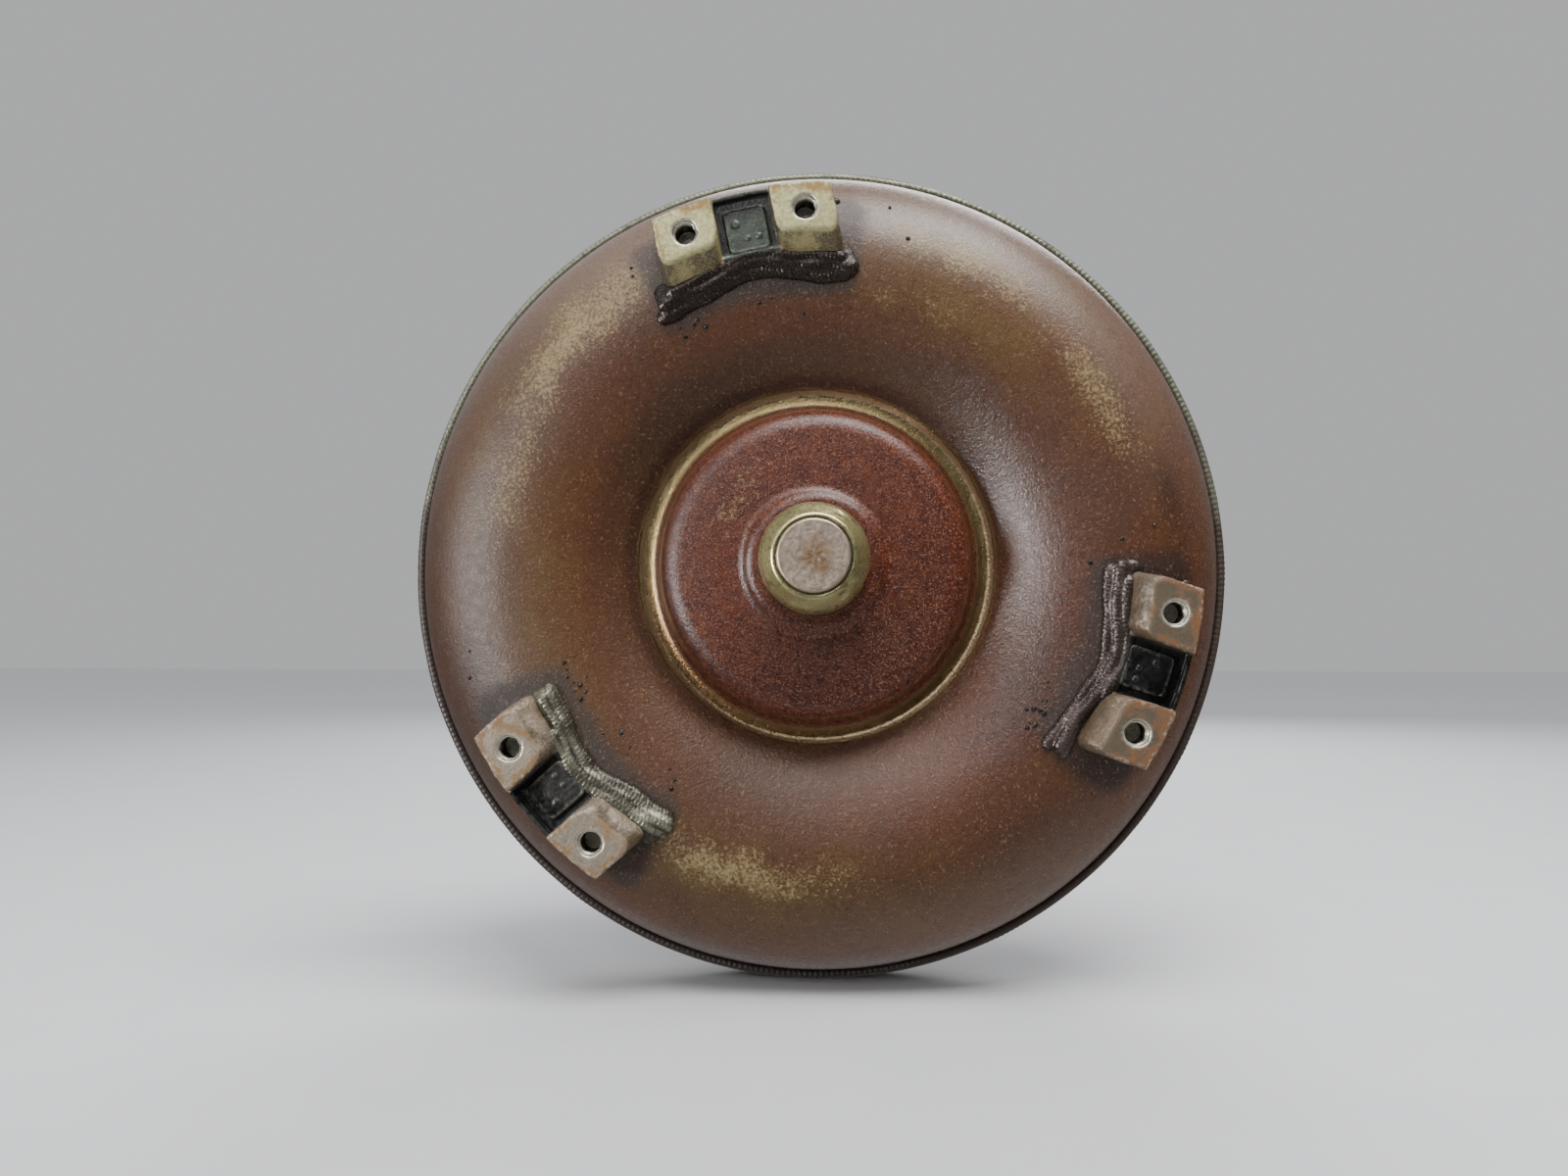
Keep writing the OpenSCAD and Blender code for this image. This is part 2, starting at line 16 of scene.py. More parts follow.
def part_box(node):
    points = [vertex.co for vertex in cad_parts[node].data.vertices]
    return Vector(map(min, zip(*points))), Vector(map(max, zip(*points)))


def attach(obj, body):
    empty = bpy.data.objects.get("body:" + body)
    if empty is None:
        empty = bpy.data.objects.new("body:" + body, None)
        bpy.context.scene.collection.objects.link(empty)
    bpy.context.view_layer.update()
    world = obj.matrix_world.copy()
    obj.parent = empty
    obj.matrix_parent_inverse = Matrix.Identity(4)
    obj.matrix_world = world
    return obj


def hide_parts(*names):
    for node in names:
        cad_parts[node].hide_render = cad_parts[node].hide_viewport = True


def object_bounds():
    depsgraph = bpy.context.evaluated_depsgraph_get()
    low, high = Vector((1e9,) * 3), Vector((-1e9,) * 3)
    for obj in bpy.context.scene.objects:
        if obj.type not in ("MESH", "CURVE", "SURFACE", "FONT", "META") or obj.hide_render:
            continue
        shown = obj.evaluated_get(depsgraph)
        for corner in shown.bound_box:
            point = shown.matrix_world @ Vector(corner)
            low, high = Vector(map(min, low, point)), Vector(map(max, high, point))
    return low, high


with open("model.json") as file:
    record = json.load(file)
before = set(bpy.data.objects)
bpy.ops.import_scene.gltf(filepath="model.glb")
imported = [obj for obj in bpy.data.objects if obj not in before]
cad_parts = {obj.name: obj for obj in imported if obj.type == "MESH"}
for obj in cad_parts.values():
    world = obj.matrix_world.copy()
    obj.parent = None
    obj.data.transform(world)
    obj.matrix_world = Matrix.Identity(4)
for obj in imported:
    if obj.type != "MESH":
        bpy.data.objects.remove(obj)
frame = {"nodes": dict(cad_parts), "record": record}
cad_low, cad_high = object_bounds()

# -------- sizes from the frame

MM = 0.001
MOUNTS = {mount["name"]: mount for mount in frame["record"]["mounts"]}


def low(node):
    """Lowest corner of a CAD node in millimetres, in the local frame's x, y, z order."""
    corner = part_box(node)
    return np.array([corner[0].x, corner[0].z, -corner[1].y]) / MM


def high(node):
    """Highest corner of a CAD node in millimetres, in the local frame's x, y, z order."""
    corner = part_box(node)
    return np.array([corner[1].x, corner[1].z, -corner[0].y]) / MM


def place_of(mount):
    """Place of a mount in millimetres, in the local frame."""
    x, y, z = MOUNTS[mount]["pos_m"]
    return np.array([x, z, -y]) / MM


def radius_of(mount):
    """Stated radius of a mount in millimetres."""
    return MOUNTS[mount]["dims"]["r_mm"]


def direction_of(place):
    """Angle of a place round the axis, in degrees."""
    return math.degrees(math.atan2(place[1], place[0]))


RIM_R = high("impeller_shell")[0]
SKIRT_R = high("front_cover")[0]
SKIRT_END_Z = low("front_cover")[2]
COLLAR_Z = high("front_cover")[2]
PILOT_R = radius_of("crankshaft_pilot")
PILOT_END_Z = high("pilot_boss")[2]
PILOT_BACK_Z = low("pilot_boss")[2]
HUB_R = radius_of("pump_hub")
HUB_BORE_R = radius_of("hub_bore")
HUB_END_Z = low("impeller_hub")[2]
HUB_INNER_Z = high("impeller_hub")[2]
HUB_FLANGE_R = high("impeller_hub")[0]
SHELL_BACK_Z = low("impeller_shell")[2]
LUG_FACE_Z = place_of("flexplate_face")[2]
BOLT_HOLE_R = radius_of("drive_bolt_top_a")
BOLT_CIRCLE_R = np.hypot(*place_of("drive_bolt_top_a")[:2])
BOLT_HALF_ANGLE = 10.0
LUG_NAMES = ("top", "left", "right")
LUG_ANGLES = {
    name: direction_of(place_of(f"drive_bolt_{name}_a") + place_of(f"drive_bolt_{name}_b"))
    for name in LUG_NAMES
}

# -------- outlines


def unit(v):
    return v / np.linalg.norm(v)


def left_of(v):
    return np.array([-v[1], v[0]])


def unit_rows(v):
    return v / np.maximum(np.linalg.norm(v, axis=1, keepdims=True), 1e-9)


def corner_arc(before, corner, after, radius, step):
    """Points of the arc that rounds a corner between its two neighbours."""
    u, v = unit(before - corner), unit(after - corner)
    half = math.acos(float(np.clip(u @ v, -1, 1))) / 2
    reach = radius / math.tan(half)
    middle = corner + unit(u + v) * radius / math.sin(half)
    start, end = corner + u * reach - middle, corner + v * reach - middle
    first = math.atan2(start[1], start[0])
    sweep = (math.atan2(end[1], end[0]) - first + math.pi) % (2 * math.pi) - math.pi
    count = max(2, math.ceil(abs(math.degrees(sweep)) / step))
    turn = first + sweep * np.arange(count + 1) / count
    return middle + radius * np.stack([np.cos(turn), np.sin(turn)], 1)


def rounded(outline, step=3.0):
    """Points of an outline given as (radius, height, corner radius)."""
    parts = []
    for i, (r, z, corner) in enumerate(outline):
        here = np.array([r, z], float)
        if corner > 0:
            before, after = np.array(outline[i - 1][:2]), np.array(outline[i + 1][:2])
            parts.append(corner_arc(before, here, after, corner, step))
        else:
            parts.append(here[None])
    return np.concatenate(parts)


def moved(outline, distance):
    """The outline moved to its left, with its corner radii kept concentric."""
    points = [np.array(p[:2], float) for p in outline]
    last, result = len(points) - 1, []
    for i, here in enumerate(points):
        ahead = unit(points[min(i + 1, last)] - points[min(i, last - 1)])
        behind = unit(points[max(i, 1)] - points[max(i - 1, 0)])
        side = np.sign(behind[0] * ahead[1] - behind[1] * ahead[0])
        q = here + (left_of(ahead) + left_of(behind)) * distance / (1 + ahead @ behind)
        corner = outline[i][2]
        result.append((q[0], q[1], corner - side * distance if corner > 0 else 0))
    return result


def evenly(points, spacing):
    """The same points with more added wherever two lie further apart than spacing."""
    result = [points[:1]]
    for a, b in zip(points[:-1], points[1:]):
        count = max(1, math.ceil(np.linalg.norm(b - a) / spacing))
        result.append(a + (b - a) * (np.arange(1, count + 1) / count)[:, None])
    return np.concatenate(result)


# Front cover: a round bulge, a dish down to a groove, and a raised middle with a collar
BULGE_R = 102.0
BULGE_Z = -5.0
SECTION_R = SKIRT_R - BULGE_R
COVER_WALL = 4.5
SHELL_WALL = 3.0
CREST_Z = BULGE_Z + SECTION_R
DISH_R = 62.0
DISH_SLOPE = math.radians(38.0)
DISH_CORNER_R = BULGE_R - DISH_R * math.tan(DISH_SLOPE / 2)
DISH_Z = CREST_Z - DISH_R
GROOVE_Z = 15.9
GROOVE_OUTER_R = DISH_CORNER_R - (CREST_Z - GROOVE_Z) / math.tan(DISH_SLOPE)
GROOVE_INNER_R = 54.0
PLATEAU_R = 50.0
PLATEAU_Z = 31.5
COLLAR_R = 21.6
PILOT_SEAT_R = PILOT_R + 0.3
COVER_OUTLINE = [
    (SKIRT_R, SKIRT_END_Z, 0),
    (SKIRT_R, CREST_Z, SECTION_R),
    (DISH_CORNER_R, CREST_Z, DISH_R),
    (GROOVE_OUTER_R, GROOVE_Z, 2.5),
    (GROOVE_INNER_R, GROOVE_Z, 4),
    (PLATEAU_R, PLATEAU_Z, 8),
    (COLLAR_R + 2.8, PLATEAU_Z + 0.1, 4),
    (COLLAR_R, COLLAR_Z, 4.5),
    (PILOT_SEAT_R, COLLAR_Z, 0),
]

# Impeller shell: from the seam over the round back to the hub
FLANGE_Z = -24.0
SHELL_BORE_R = 34.0
SHELL_CREST_R = 100.0
SHELL_OUTLINE = [
    (RIM_R, 0, 0),
    (RIM_R, -14, 4),
    (RIM_R - 10.5, -17.5, 3),
    (RIM_R - 12.5, SHELL_BACK_Z + 3, 23),
    (SHELL_CREST_R, SHELL_BACK_Z, 60),
    (76, SHELL_BACK_Z + 5, 18),
    (56, FLANGE_Z, 8),
    (SHELL_BORE_R, FLANGE_Z, 0),
]

# -------- noise and fades


def smooth(t):
    """Smooth step from 0 to 1 as t goes from 0 to 1."""
    t = np.clip(t, 0, 1)
    return t * t * (3 - 2 * t)


def lobe(angle, centre, half_width):
    """1 in the direction centre, fading to 0 half_width degrees away from it."""
    away = np.abs((angle - centre + 180) % 360 - 180)
    return smooth(1 - away / half_width)


def band(value, middle, half_width):
    """1 at middle, fading to 0 half_width away from it."""
    return smooth(1 - np.abs(value - middle) / half_width)


def waves(points, size, seed, count=20):
    """Smooth noise of about unit strength with bumps of the given size."""
    rng = np.random.default_rng(seed)
    way = rng.normal(size=(count, points.shape[1]))
    way *= 2 * math.pi / size / np.linalg.norm(way, axis=1, keepdims=True)
    way *= rng.uniform(0.6, 1.5, (count, 1))
    phase = rng.uniform(0, 2 * math.pi, count)
    return np.sin(points @ way.T + phase).sum(1) / math.sqrt(count / 2)


# -------- meshes


def to_row(points):
    """Local millimetres to the row frame's metres."""
    return np.stack([points[:, 0], -points[:, 2], points[:, 1]], 1) * MM


def turned(points, degrees):
    """Points turned about the axis."""
    c, s = math.cos(math.radians(degrees)), math.sin(math.radians(degrees))
    x, y = points[:, 0], points[:, 1]
    return np.stack([c * x - s * y, s * x + c * y, points[:, 2]], 1)


def signed_volume(points, faces):
    """Six times the volume inside the faces, below zero when they face inwards."""
    corners = [(f[0], f[k], f[k + 1]) for f in faces for k in range(1, len(f) - 1)]
    a, b, c = points[np.array(corners).T]
    return np.einsum("ij,ij->", a, np.cross(b, c))


def make_piece(name, points, faces, material, replaces=None, slot=None, crease=38.0,
               weights=None):
    """A smooth-shaded piece of the housing from points in local millimetres.

    weights holds one number per point for each name that the material reads.
    """
    faces = [tuple(int(i) for i in f) for f in faces]
    if signed_volume(points, faces) < 0:
        faces = [f[::-1] for f in faces]
    mesh = bpy.data.meshes.new(name)
    mesh.from_pydata(to_row(points).tolist(), [], faces)
    mesh.shade_smooth()
    mesh.set_sharp_from_angle(angle=math.radians(crease))
    for key, values in (weights or {}).items():
        layer = mesh.attributes.new(key, "FLOAT", "POINT")
        layer.data.foreach_set("value", np.asarray(values, np.float32))
    mesh.materials.append(material)
    piece = bpy.data.objects.new(name, mesh)
    bpy.context.scene.collection.objects.link(piece)
    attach(piece, "housing")
    if replaces:
        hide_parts(replaces)


def joined(parts):
    """Several (points, faces) as one, with the faces renumbered."""
    points, faces, start = [], [], 0
    for own_points, own_faces in parts:
        points.append(own_points)
        faces += [[start + i for i in face] for face in own_faces]
        start += len(own_points)
    return np.concatenate(points), faces


def lathe(outer, segments, relief, inner=None, loop=True):
    """Points and faces of a profile turned about the axis.

    The profile runs along outer and back along inner. relief(r, z, angle) gives how far
    each point of outer stands proud. A profile that isn't a loop starts and ends on the
    axis and closes there with a fan.
    """
    profile = outer if inner is None else np.concatenate([outer, inner])
    r, z = profile.T
    if loop:
        along = np.roll(profile, -1, 0) - np.roll(profile, 1, 0)
    else:
        along = np.gradient(profile, axis=0)
    along = unit_rows(along)
    angle = 2 * math.pi * np.arange(segments) / segments
    proud = relief(r[:, None], z[:, None], np.degrees(angle)[None])
    proud = proud * (np.arange(len(r)) < len(outer))[:, None]
    rr, zz = r[:, None] + along[:, 1:] * proud, z[:, None] - along[:, :1] * proud
    grid = np.stack([rr * np.cos(angle), rr * np.sin(angle), zz], 2)
    tip = r < 1e-6
    points = [ring[:1] if is_tip else ring for ring, is_tip in zip(grid, tip)]
    first = np.cumsum([0] + [len(ring) for ring in points])
    here = np.arange(segments)
    after = (here + 1) % segments
    faces = []
    for i in range(len(r) if loop else len(r) - 1):
        j = (i + 1) % len(r)
        near = [first[i] + 0 * here] if tip[i] else [first[i] + here, first[i] + after]
        far = [first[j] + 0 * here] if tip[j] else [first[j] + after, first[j] + here]
        faces += np.stack(near + far, 1).tolist()
    return np.concatenate(points), faces


# -------- solid fields
# A field gives the distance to a solid's surface, negative inside it.


def smooth_max(a, b, blend):
    """The larger of two values, with the change between them blended."""
    h = np.maximum(blend - np.abs(a - b), 0) / blend
    return np.maximum(a, b) + h * h * blend / 4


def smooth_min(a, b, blend):
    return -smooth_max(-a, -b, blend)


def round_max(a, b, radius):
    """Where two solids overlap, with the edge between them rounded to a radius."""
    past_a, past_b = np.maximum(a + radius, 0), np.maximum(b + radius, 0)
    return np.minimum(np.maximum(a, b), -radius) + np.hypot(past_a, past_b)


def net_surface(field, lowest, highest, step):
    """Points and quads of a field's surface, from one point in each cell it crosses."""
    axes = [np.arange(lo, hi + step, step) for lo, hi in zip(lowest, highest)]
    value = field(*np.meshgrid(*axes, indexing="ij"))
    shape = tuple(n - 1 for n in value.shape)
    total, count, crossings = np.zeros(shape + (3,)), np.zeros(shape), []
    for axis in range(3):
        near, far = [slice(None)] * 3, [slice(None)] * 3
        near[axis], far[axis] = slice(0, -1), slice(1, None)
        a, b = value[tuple(near)], value[tuple(far)]
        crossed = (a < 0) != (b < 0)
        start = np.argwhere(crossed)
        place = start.astype(float)
        place[:, axis] += a[crossed] / (a[crossed] - b[crossed])
        cells = []
        for back_1, back_2 in ((1, 1), (0, 1), (0, 0), (1, 0)):
            cell = start.copy()
            cell[:, (axis + 1) % 3] -= back_1
            cell[:, (axis + 2) % 3] -= back_2
            cells.append(cell)
        inside = np.all([(c >= 0).all(1) & (c < shape).all(1) for c in cells], 0)
        for cell in cells:
            spot = tuple(cell[inside].T)
            np.add.at(total, spot, place[inside])
            np.add.at(count, spot, 1)
        crossings.append(([c[inside] for c in cells], a[crossed][inside] < 0))
    used = count > 0
    number = np.full(shape, -1)
    number[used] = np.arange(used.sum())
    points = total[used] / count[used][:, None] * step + np.array([x[0] for x in axes])
    faces = []
    for cells, outward in crossings:
        quad = np.stack([number[tuple(c.T)] for c in cells], 1)
        quad[~outward] = quad[~outward][:, ::-1]
        faces.append(quad)
    return points, np.concatenate(faces)


def slope_of(points, field, reach):
    """Direction in which a field rises, at each point."""
    steps = np.eye(3) * reach
    pairs = [(field(*(points + s).T), field(*(points - s).T)) for s in steps]
    return np.stack([(a - b) / (2 * reach) for a, b in pairs], 1)


def settle(points, field, step, rounds=3):
    """Moves points onto a field's surface, which sharpens its edges."""
    for _ in range(rounds):
        slope = slope_of(points, field, step * 0.25)
        shift = field(*points.T) / np.maximum((slope**2).sum(1), 0.2)
        points = points - np.clip(shift, -step * 0.5, step * 0.5)[:, None] * slope
    return points


def solid(field, lowest, highest, step):
    """Points and quads of a field's surface, settled onto it."""
    points, faces = net_surface(field, lowest, highest, step)
    return settle(points, field, step), faces


def cover_face(u, v, z):
    """Distance above the cover's bulge, and above its dish inside the crest."""
    r = np.hypot(u, v)
    bulge = np.hypot(r - BULGE_R, z - BULGE_Z) - SECTION_R
    dish = np.hypot(r - BULGE_R, z - DISH_Z) - DISH_R
    return np.where(r < BULGE_R, dish, bulge)


def crown_of(r):
    """Height of the cover's face at a radius outside the groove."""
    gap = np.asarray(r, float) - BULGE_R
    bulge = BULGE_Z + np.sqrt(np.maximum(SECTION_R**2 - gap**2, 1))
    dish = DISH_Z + np.sqrt(np.maximum(DISH_R**2 - gap**2, 1))
    return np.where(gap < 0, dish, bulge)


# -------- drive lugs

LUG_OUTER_R = BOLT_CIRCLE_R + 8.3
LUG_LIP_R = LUG_OUTER_R + 0.9
LUG_WALL_R = 101.3
PAD_EDGE_R = 107.4
PAD_SLOPE = 37.0
POCKET_HALF_W = 9.5
PAD_HALF_W = 10.25
LUG_HALF_W = POCKET_HALF_W + 2 * PAD_HALF_W
TRENCH_Z = LUG_FACE_Z - 7.0
ISLAND_Z = LUG_FACE_Z - 5.5
HOLE_DEPTH = 10.0
THREAD_PITCH = 1.25
THREAD_DEPTH = 0.55
CHAMFER = 1.0
COUNTERSINK_DEPTH = 1.6
DRILL_TIP = 1.6
UNDERCUT = 0.9
ISLAND_R = 112.0
SADDLE_R = 105.4
BOLT_U = BOLT_CIRCLE_R * math.cos(math.radians(BOLT_HALF_ANGLE))
BOLT_V = BOLT_CIRCLE_R * math.sin(math.radians(BOLT_HALF_ANGLE))


def box_2d(x, y, half_x, half_y, corner):
    """Distance to a rectangle with rounded corners."""
    return round_max(np.abs(x) - half_x, np.abs(y) - half_y, corner)


def pads_field(u, v, z):
    """Both tapped pads of a lug: flat on top, rolling over to a slope above the weld."""
    r = np.hypot(u, v)
    tilt = math.radians(PAD_SLOPE)
    slope = (PAD_EDGE_R - r) * math.sin(tilt) + (z - LUG_FACE_Z) * math.cos(tilt)
    inner = smooth_max(slope, LUG_WALL_R - r, 5.0)
    side = np.abs(np.abs(v) - POCKET_HALF_W - PAD_HALF_W) - PAD_HALF_W
    plan = round_max(inner, side, 3.8)
    body = smooth_max(plan, z - LUG_FACE_Z, 0.9)
    return round_max(body, r - LUG_OUTER_R, 0.45)


def pocket_field(u, v, z):
    """Floor between the pads: a raised island in a trench, with a lip on its outer side."""
    r, over_island = np.hypot(u, v), z - ISLAND_Z
    island = round_max(box_2d(u - ISLAND_R, v, 7.4, 6.9, 1.6), over_island, 0.4)
    dish = np.maximum(box_2d(u - ISLAND_R, v, 6.6, 6.1, 1.2), -0.3 - over_island)
    island = smooth_max(island, -dish, 0.25)
    lip = round_max(LUG_LIP_R - 1.4 - r, over_island - 0.3, 0.3)
    bowed = 0.4 * np.abs(r - SADDLE_R + 1.4)
    saddle = smooth_max(r - SADDLE_R, over_island + 0.1 + bowed, 0.6)
    body = smooth_min(smooth_min(z - TRENCH_Z, island, 0.5), smooth_min(lip, saddle, 0.5), 0.5)
    body = smooth_min(body, pocket_marks(u, v, z), 0.3)
    body = round_max(body, r - LUG_LIP_R, 0.35)
    body = round_max(body, LUG_WALL_R + 0.6 - r, 1.5)
    return np.maximum(body, np.abs(v) - POCKET_HALF_W - 1.0)


def pocket_marks(u, v, z):
    """Worn, plain raised dots on the island, each given as (u, v, radius)."""
    dots = ((109.0, -3.6, 0.9), (109.0, 0.2, 0.8), (114.2, 3.4, 1.3))
    marks = np.min([np.hypot(u - dot_u, v - dot_v) - size for dot_u, dot_v, size in dots], 0)
    return smooth_max(marks, z - ISLAND_Z - 0.02, 0.35)


def hole_field(u, v, z):
    """Blind bolt holes with a countersink."""
    reach, down = np.hypot(u - BOLT_U, np.abs(v) - BOLT_V), LUG_FACE_Z - z
    straight = np.maximum(reach - BOLT_HOLE_R - THREAD_DEPTH - 0.1, down - HOLE_DEPTH)
    cone = (reach - BOLT_HOLE_R - CHAMFER + down) / math.sqrt(2)
    return np.minimum(straight, np.maximum(cone, down - COUNTERSINK_DEPTH))


def lug_field(u, v, z):
    """A whole lug: pads and pocket less the bolt holes, down to just under the cover's face."""
    body = smooth_min(pads_field(u, v, z), pocket_field(u, v, z), 0.5)
    body = smooth_max(body, -hole_field(u, v, z), 0.25)
    return np.maximum(body, -UNDERCUT - cover_face(u, v, z))


def thread_surface(turns):
    """Points and faces of one tapped hole's wall and bottom, about the hole's own axis."""
    around, steps_per_pitch = 48, 7
    depth = HOLE_DEPTH - CHAMFER
    rows = int(depth / THREAD_PITCH * steps_per_pitch)
    angle = 2 * math.pi * np.arange(around) / around
    down = CHAMFER + depth * np.arange(rows + 1)[:, None] / rows
    z = LUG_FACE_Z - down
    phase = (z / THREAD_PITCH + angle / (2 * math.pi) + turns) % 1
    tooth = np.clip(np.abs(phase - 0.5) * 3.2 - 0.3, 0, 1)
    runout = 1 - smooth((down - 0.9) / 0.8)
    r = BOLT_HOLE_R + THREAD_DEPTH * np.maximum(tooth, runout)
    wall = np.stack([r * np.cos(angle), r * np.sin(angle), np.repeat(z, around, 1)], 2)
    points = np.concatenate([wall.reshape(-1, 3), [[0, 0, z[-1, 0] - DRILL_TIP]]])
    faces, here = [], np.arange(around)
    after = (here + 1) % around
    for a in range(0, rows * around, around):
        faces += (a + np.stack([after, here, here + around, after + around], 1)).tolist()
    last, tip = rows * around, len(points) - 1
    faces += [[last + j, tip, last + k] for j, k in zip(here, after)]
    return points, faces


def lug_weights(points, rise):
    """How much of pocket, trench, milled face, edge or tapped hole is at each point, and the
    painted shade down the holes, which is none on the lug's body.
    """
    v, z = points[:, 1], points[:, 2]
    bore_reach = np.hypot(points[:, 0] - BOLT_U, np.abs(v) - BOLT_V)
    pocket = smooth((POCKET_HALF_W + 0.4 - np.abs(v)) / 0.8) * smooth((LUG_FACE_Z - 2.5 - z) / 2)
    near_edge = 1 - smooth((-lug_field(*(points - rise * 4.0).T) - 1.2) / 2.4)
    return {
        "pocket": pocket,
        "machined": smooth((rise[:, 2] - 0.85) / 0.1) * smooth((z - LUG_FACE_Z + 1) / 0.6),
        "edge": 1 - smooth((-lug_field(*(points - rise * 1.6).T) - 0.9) / 0.6),
        "near_edge": near_edge * smooth((bore_reach - BOLT_HOLE_R - 1.5) / 3),
        "trench": pocket * smooth((ISLAND_Z - 0.25 - z) / 0.6),
        "tapped": smooth((BOLT_HOLE_R + CHAMFER + 0.35 - bore_reach) / 0.3),
        "hole_shade": 0 * z,
    }


def build_lugs():
    """The three drive lugs, with the walls of their tapped holes."""
    lowest = (LUG_WALL_R - 4, -LUG_HALF_W - 1.5, 20.0)
    highest = (LUG_LIP_R + 1.5, LUG_HALF_W + 1.5, LUG_FACE_Z + 1.5)
    base, quads = solid(lug_field, lowest, highest, 0.42)
    rise = unit_rows(slope_of(base, lug_field, 0.3))
    worn = lug_weights(base, rise)
    for number, name in enumerate(LUG_NAMES):
        rough = 0.03 * waves(base, 1.6, 40 + number) + 0.08 * waves(base, 8, 50 + number)
        rough *= (0.2 + 0.8 * (1 - worn["machined"]) * (1 - worn["pocket"])
                  + 0.25 * worn["pocket"])
        parts = [(base + rise * rough[:, None], quads.tolist())]
        for side in (-1, 1):
            wall, wall_faces = thread_surface(0.3 * number + 0.4 * side)
            parts.append((wall + np.array([BOLT_U, side * BOLT_V, 0]), wall_faces))
        points, faces = joined(parts)
        walls = slice(len(base), None)
        weights = {key: np.pad(value, (0, len(points) - len(base))) for key, value in worn.items()}
        weights["tapped"][walls] = 1
        # Painted shade down each tapped hole, darker further from the face
        weights["hole_shade"][walls] = smooth((LUG_FACE_Z - 1.5 - points[walls, 2]) / 3.5)
        make_piece(f"lug_{name}_body", turned(points, LUG_ANGLES[name]), faces,
                   lug_material(name, LUG_TINTS[name]), f"drive_lug_{name}", "lug_steel",
                   weights=weights)


# -------- welds

RIPPLE_PITCH = 1.35
RIPPLE_HEIGHT = 0.12
RIPPLE_BEND = 0.22
WELD_BOX_LOW = (84, -44, 20)
WELD_BOX_HIGH = (123, 44, 43)
DROPS_PER_LUG = 26


def wander(s, size, seed):
    """Smooth random value along a length, of about unit strength."""
    rng = np.random.default_rng(seed)
    total = 0
    for _ in range(5):
        total = total + np.sin(s * 2 * math.pi / size * rng.uniform(0.6, 1.6)
                               + rng.uniform(0, 2 * math.pi))
    return total / 1.6


def strand_line(s, middle_r, seed):
    """Radius of a strand's crest at a length along the lug, bowed out at the pocket."""
    return middle_r + 0.3 * wander(s, 26, seed + 1) + 3.0 * band(s, 0, 22)


def strand_field(u, v, z, middle_r, lift, thick, first, last, seed):
    """One run of weld bead along a lug, with crescent ripples."""
    r = np.hypot(u, v)
    s = np.arctan2(v, u) * BULGE_R
    past = np.maximum(first - s, 0) + np.maximum(s - last, 0)
    swell = 1 + 0.05 * wander(s, 16, seed) + 0.1 * (band(s, first + 2, 5) + band(s, last - 2, 5))
    centre_r = strand_line(s, middle_r, seed)
    across = r - centre_r
    height = z - crown_of(centre_r) - lift
    ripple = np.sin(2 * math.pi * (s + RIPPLE_BEND * across**2) / RIPPLE_PITCH + seed)
    reach = np.sqrt(across**2 + (height * 1.15) ** 2 + past**2)
    return reach - thick * swell - RIPPLE_HEIGHT * ripple


# Each strand as radius, height over the cover, thickness, start, end and seed
LUG_STRANDS = {
    "top": [(95.4, -0.4, 2.5, -31, 36, 1), (98.4, 0.5, 2.7, -33, 33, 2),
            (101.0, 1.3, 2.3, -29, 29, 3)],
    "left": [(96.2, -0.3, 2.4, -28, 33, 4), (98.9, 0.7, 2.6, -26, 34, 5),
             (101.3, 1.6, 2.4, -14, 30, 6)],
    "right": [(95.6, -0.5, 2.2, -35, 30, 7), (98.6, 0.6, 2.5, -33, 31, 8),
              (101.2, 1.7, 2.1, -12, 26, 9)],
}
# Each blob as u, v and radius, in the lug's own frame
LUG_BLOBS = {
    "top": [(97.5, 31.0, 4.0), (97.0, -30.0, 3.6), (118, -31.2, 1.8)],
    "left": [(98.5, 30.5, 3.8), (97.0, -26.0, 3.2)],
    "right": [(98.5, 30.0, 3.8), (117, 31.2, 2.0), (95.0, -33.0, 2.4)],
}
# How pale each lug's bead is, partly oxide tint and partly painted light: dark on the top lug,
# whose bead faces away from the light, pale on the lit left one
WELD_TONES = {"top": 0.12, "left": 1.15, "right": 0.75}
WELD_MAUVE = {"top": 1.0, "left": 0.0, "right": 0.9}


def weld_field(name):
    """Field of one lug's weld: its strands, with round blobs where they start and stop."""
    def field(u, v, z):
        body = None
        for strand in LUG_STRANDS[name]:
            here = strand_field(u, v, z, *strand)
            body = here if body is None else smooth_min(body, here, 0.8)
        for place_u, place_v, size in LUG_BLOBS[name]:
            crown = crown_of(math.hypot(place_u, place_v))
            flat = (z - crown + 0.35 * size) * 1.4
            blob = np.sqrt((u - place_u) ** 2 + (v - place_v) ** 2 + flat**2) - size
            body = smooth_min(body, blob, 2.2)
        return smooth_max(body, -0.8 - cover_face(u, v, z), 0.3)
    return field


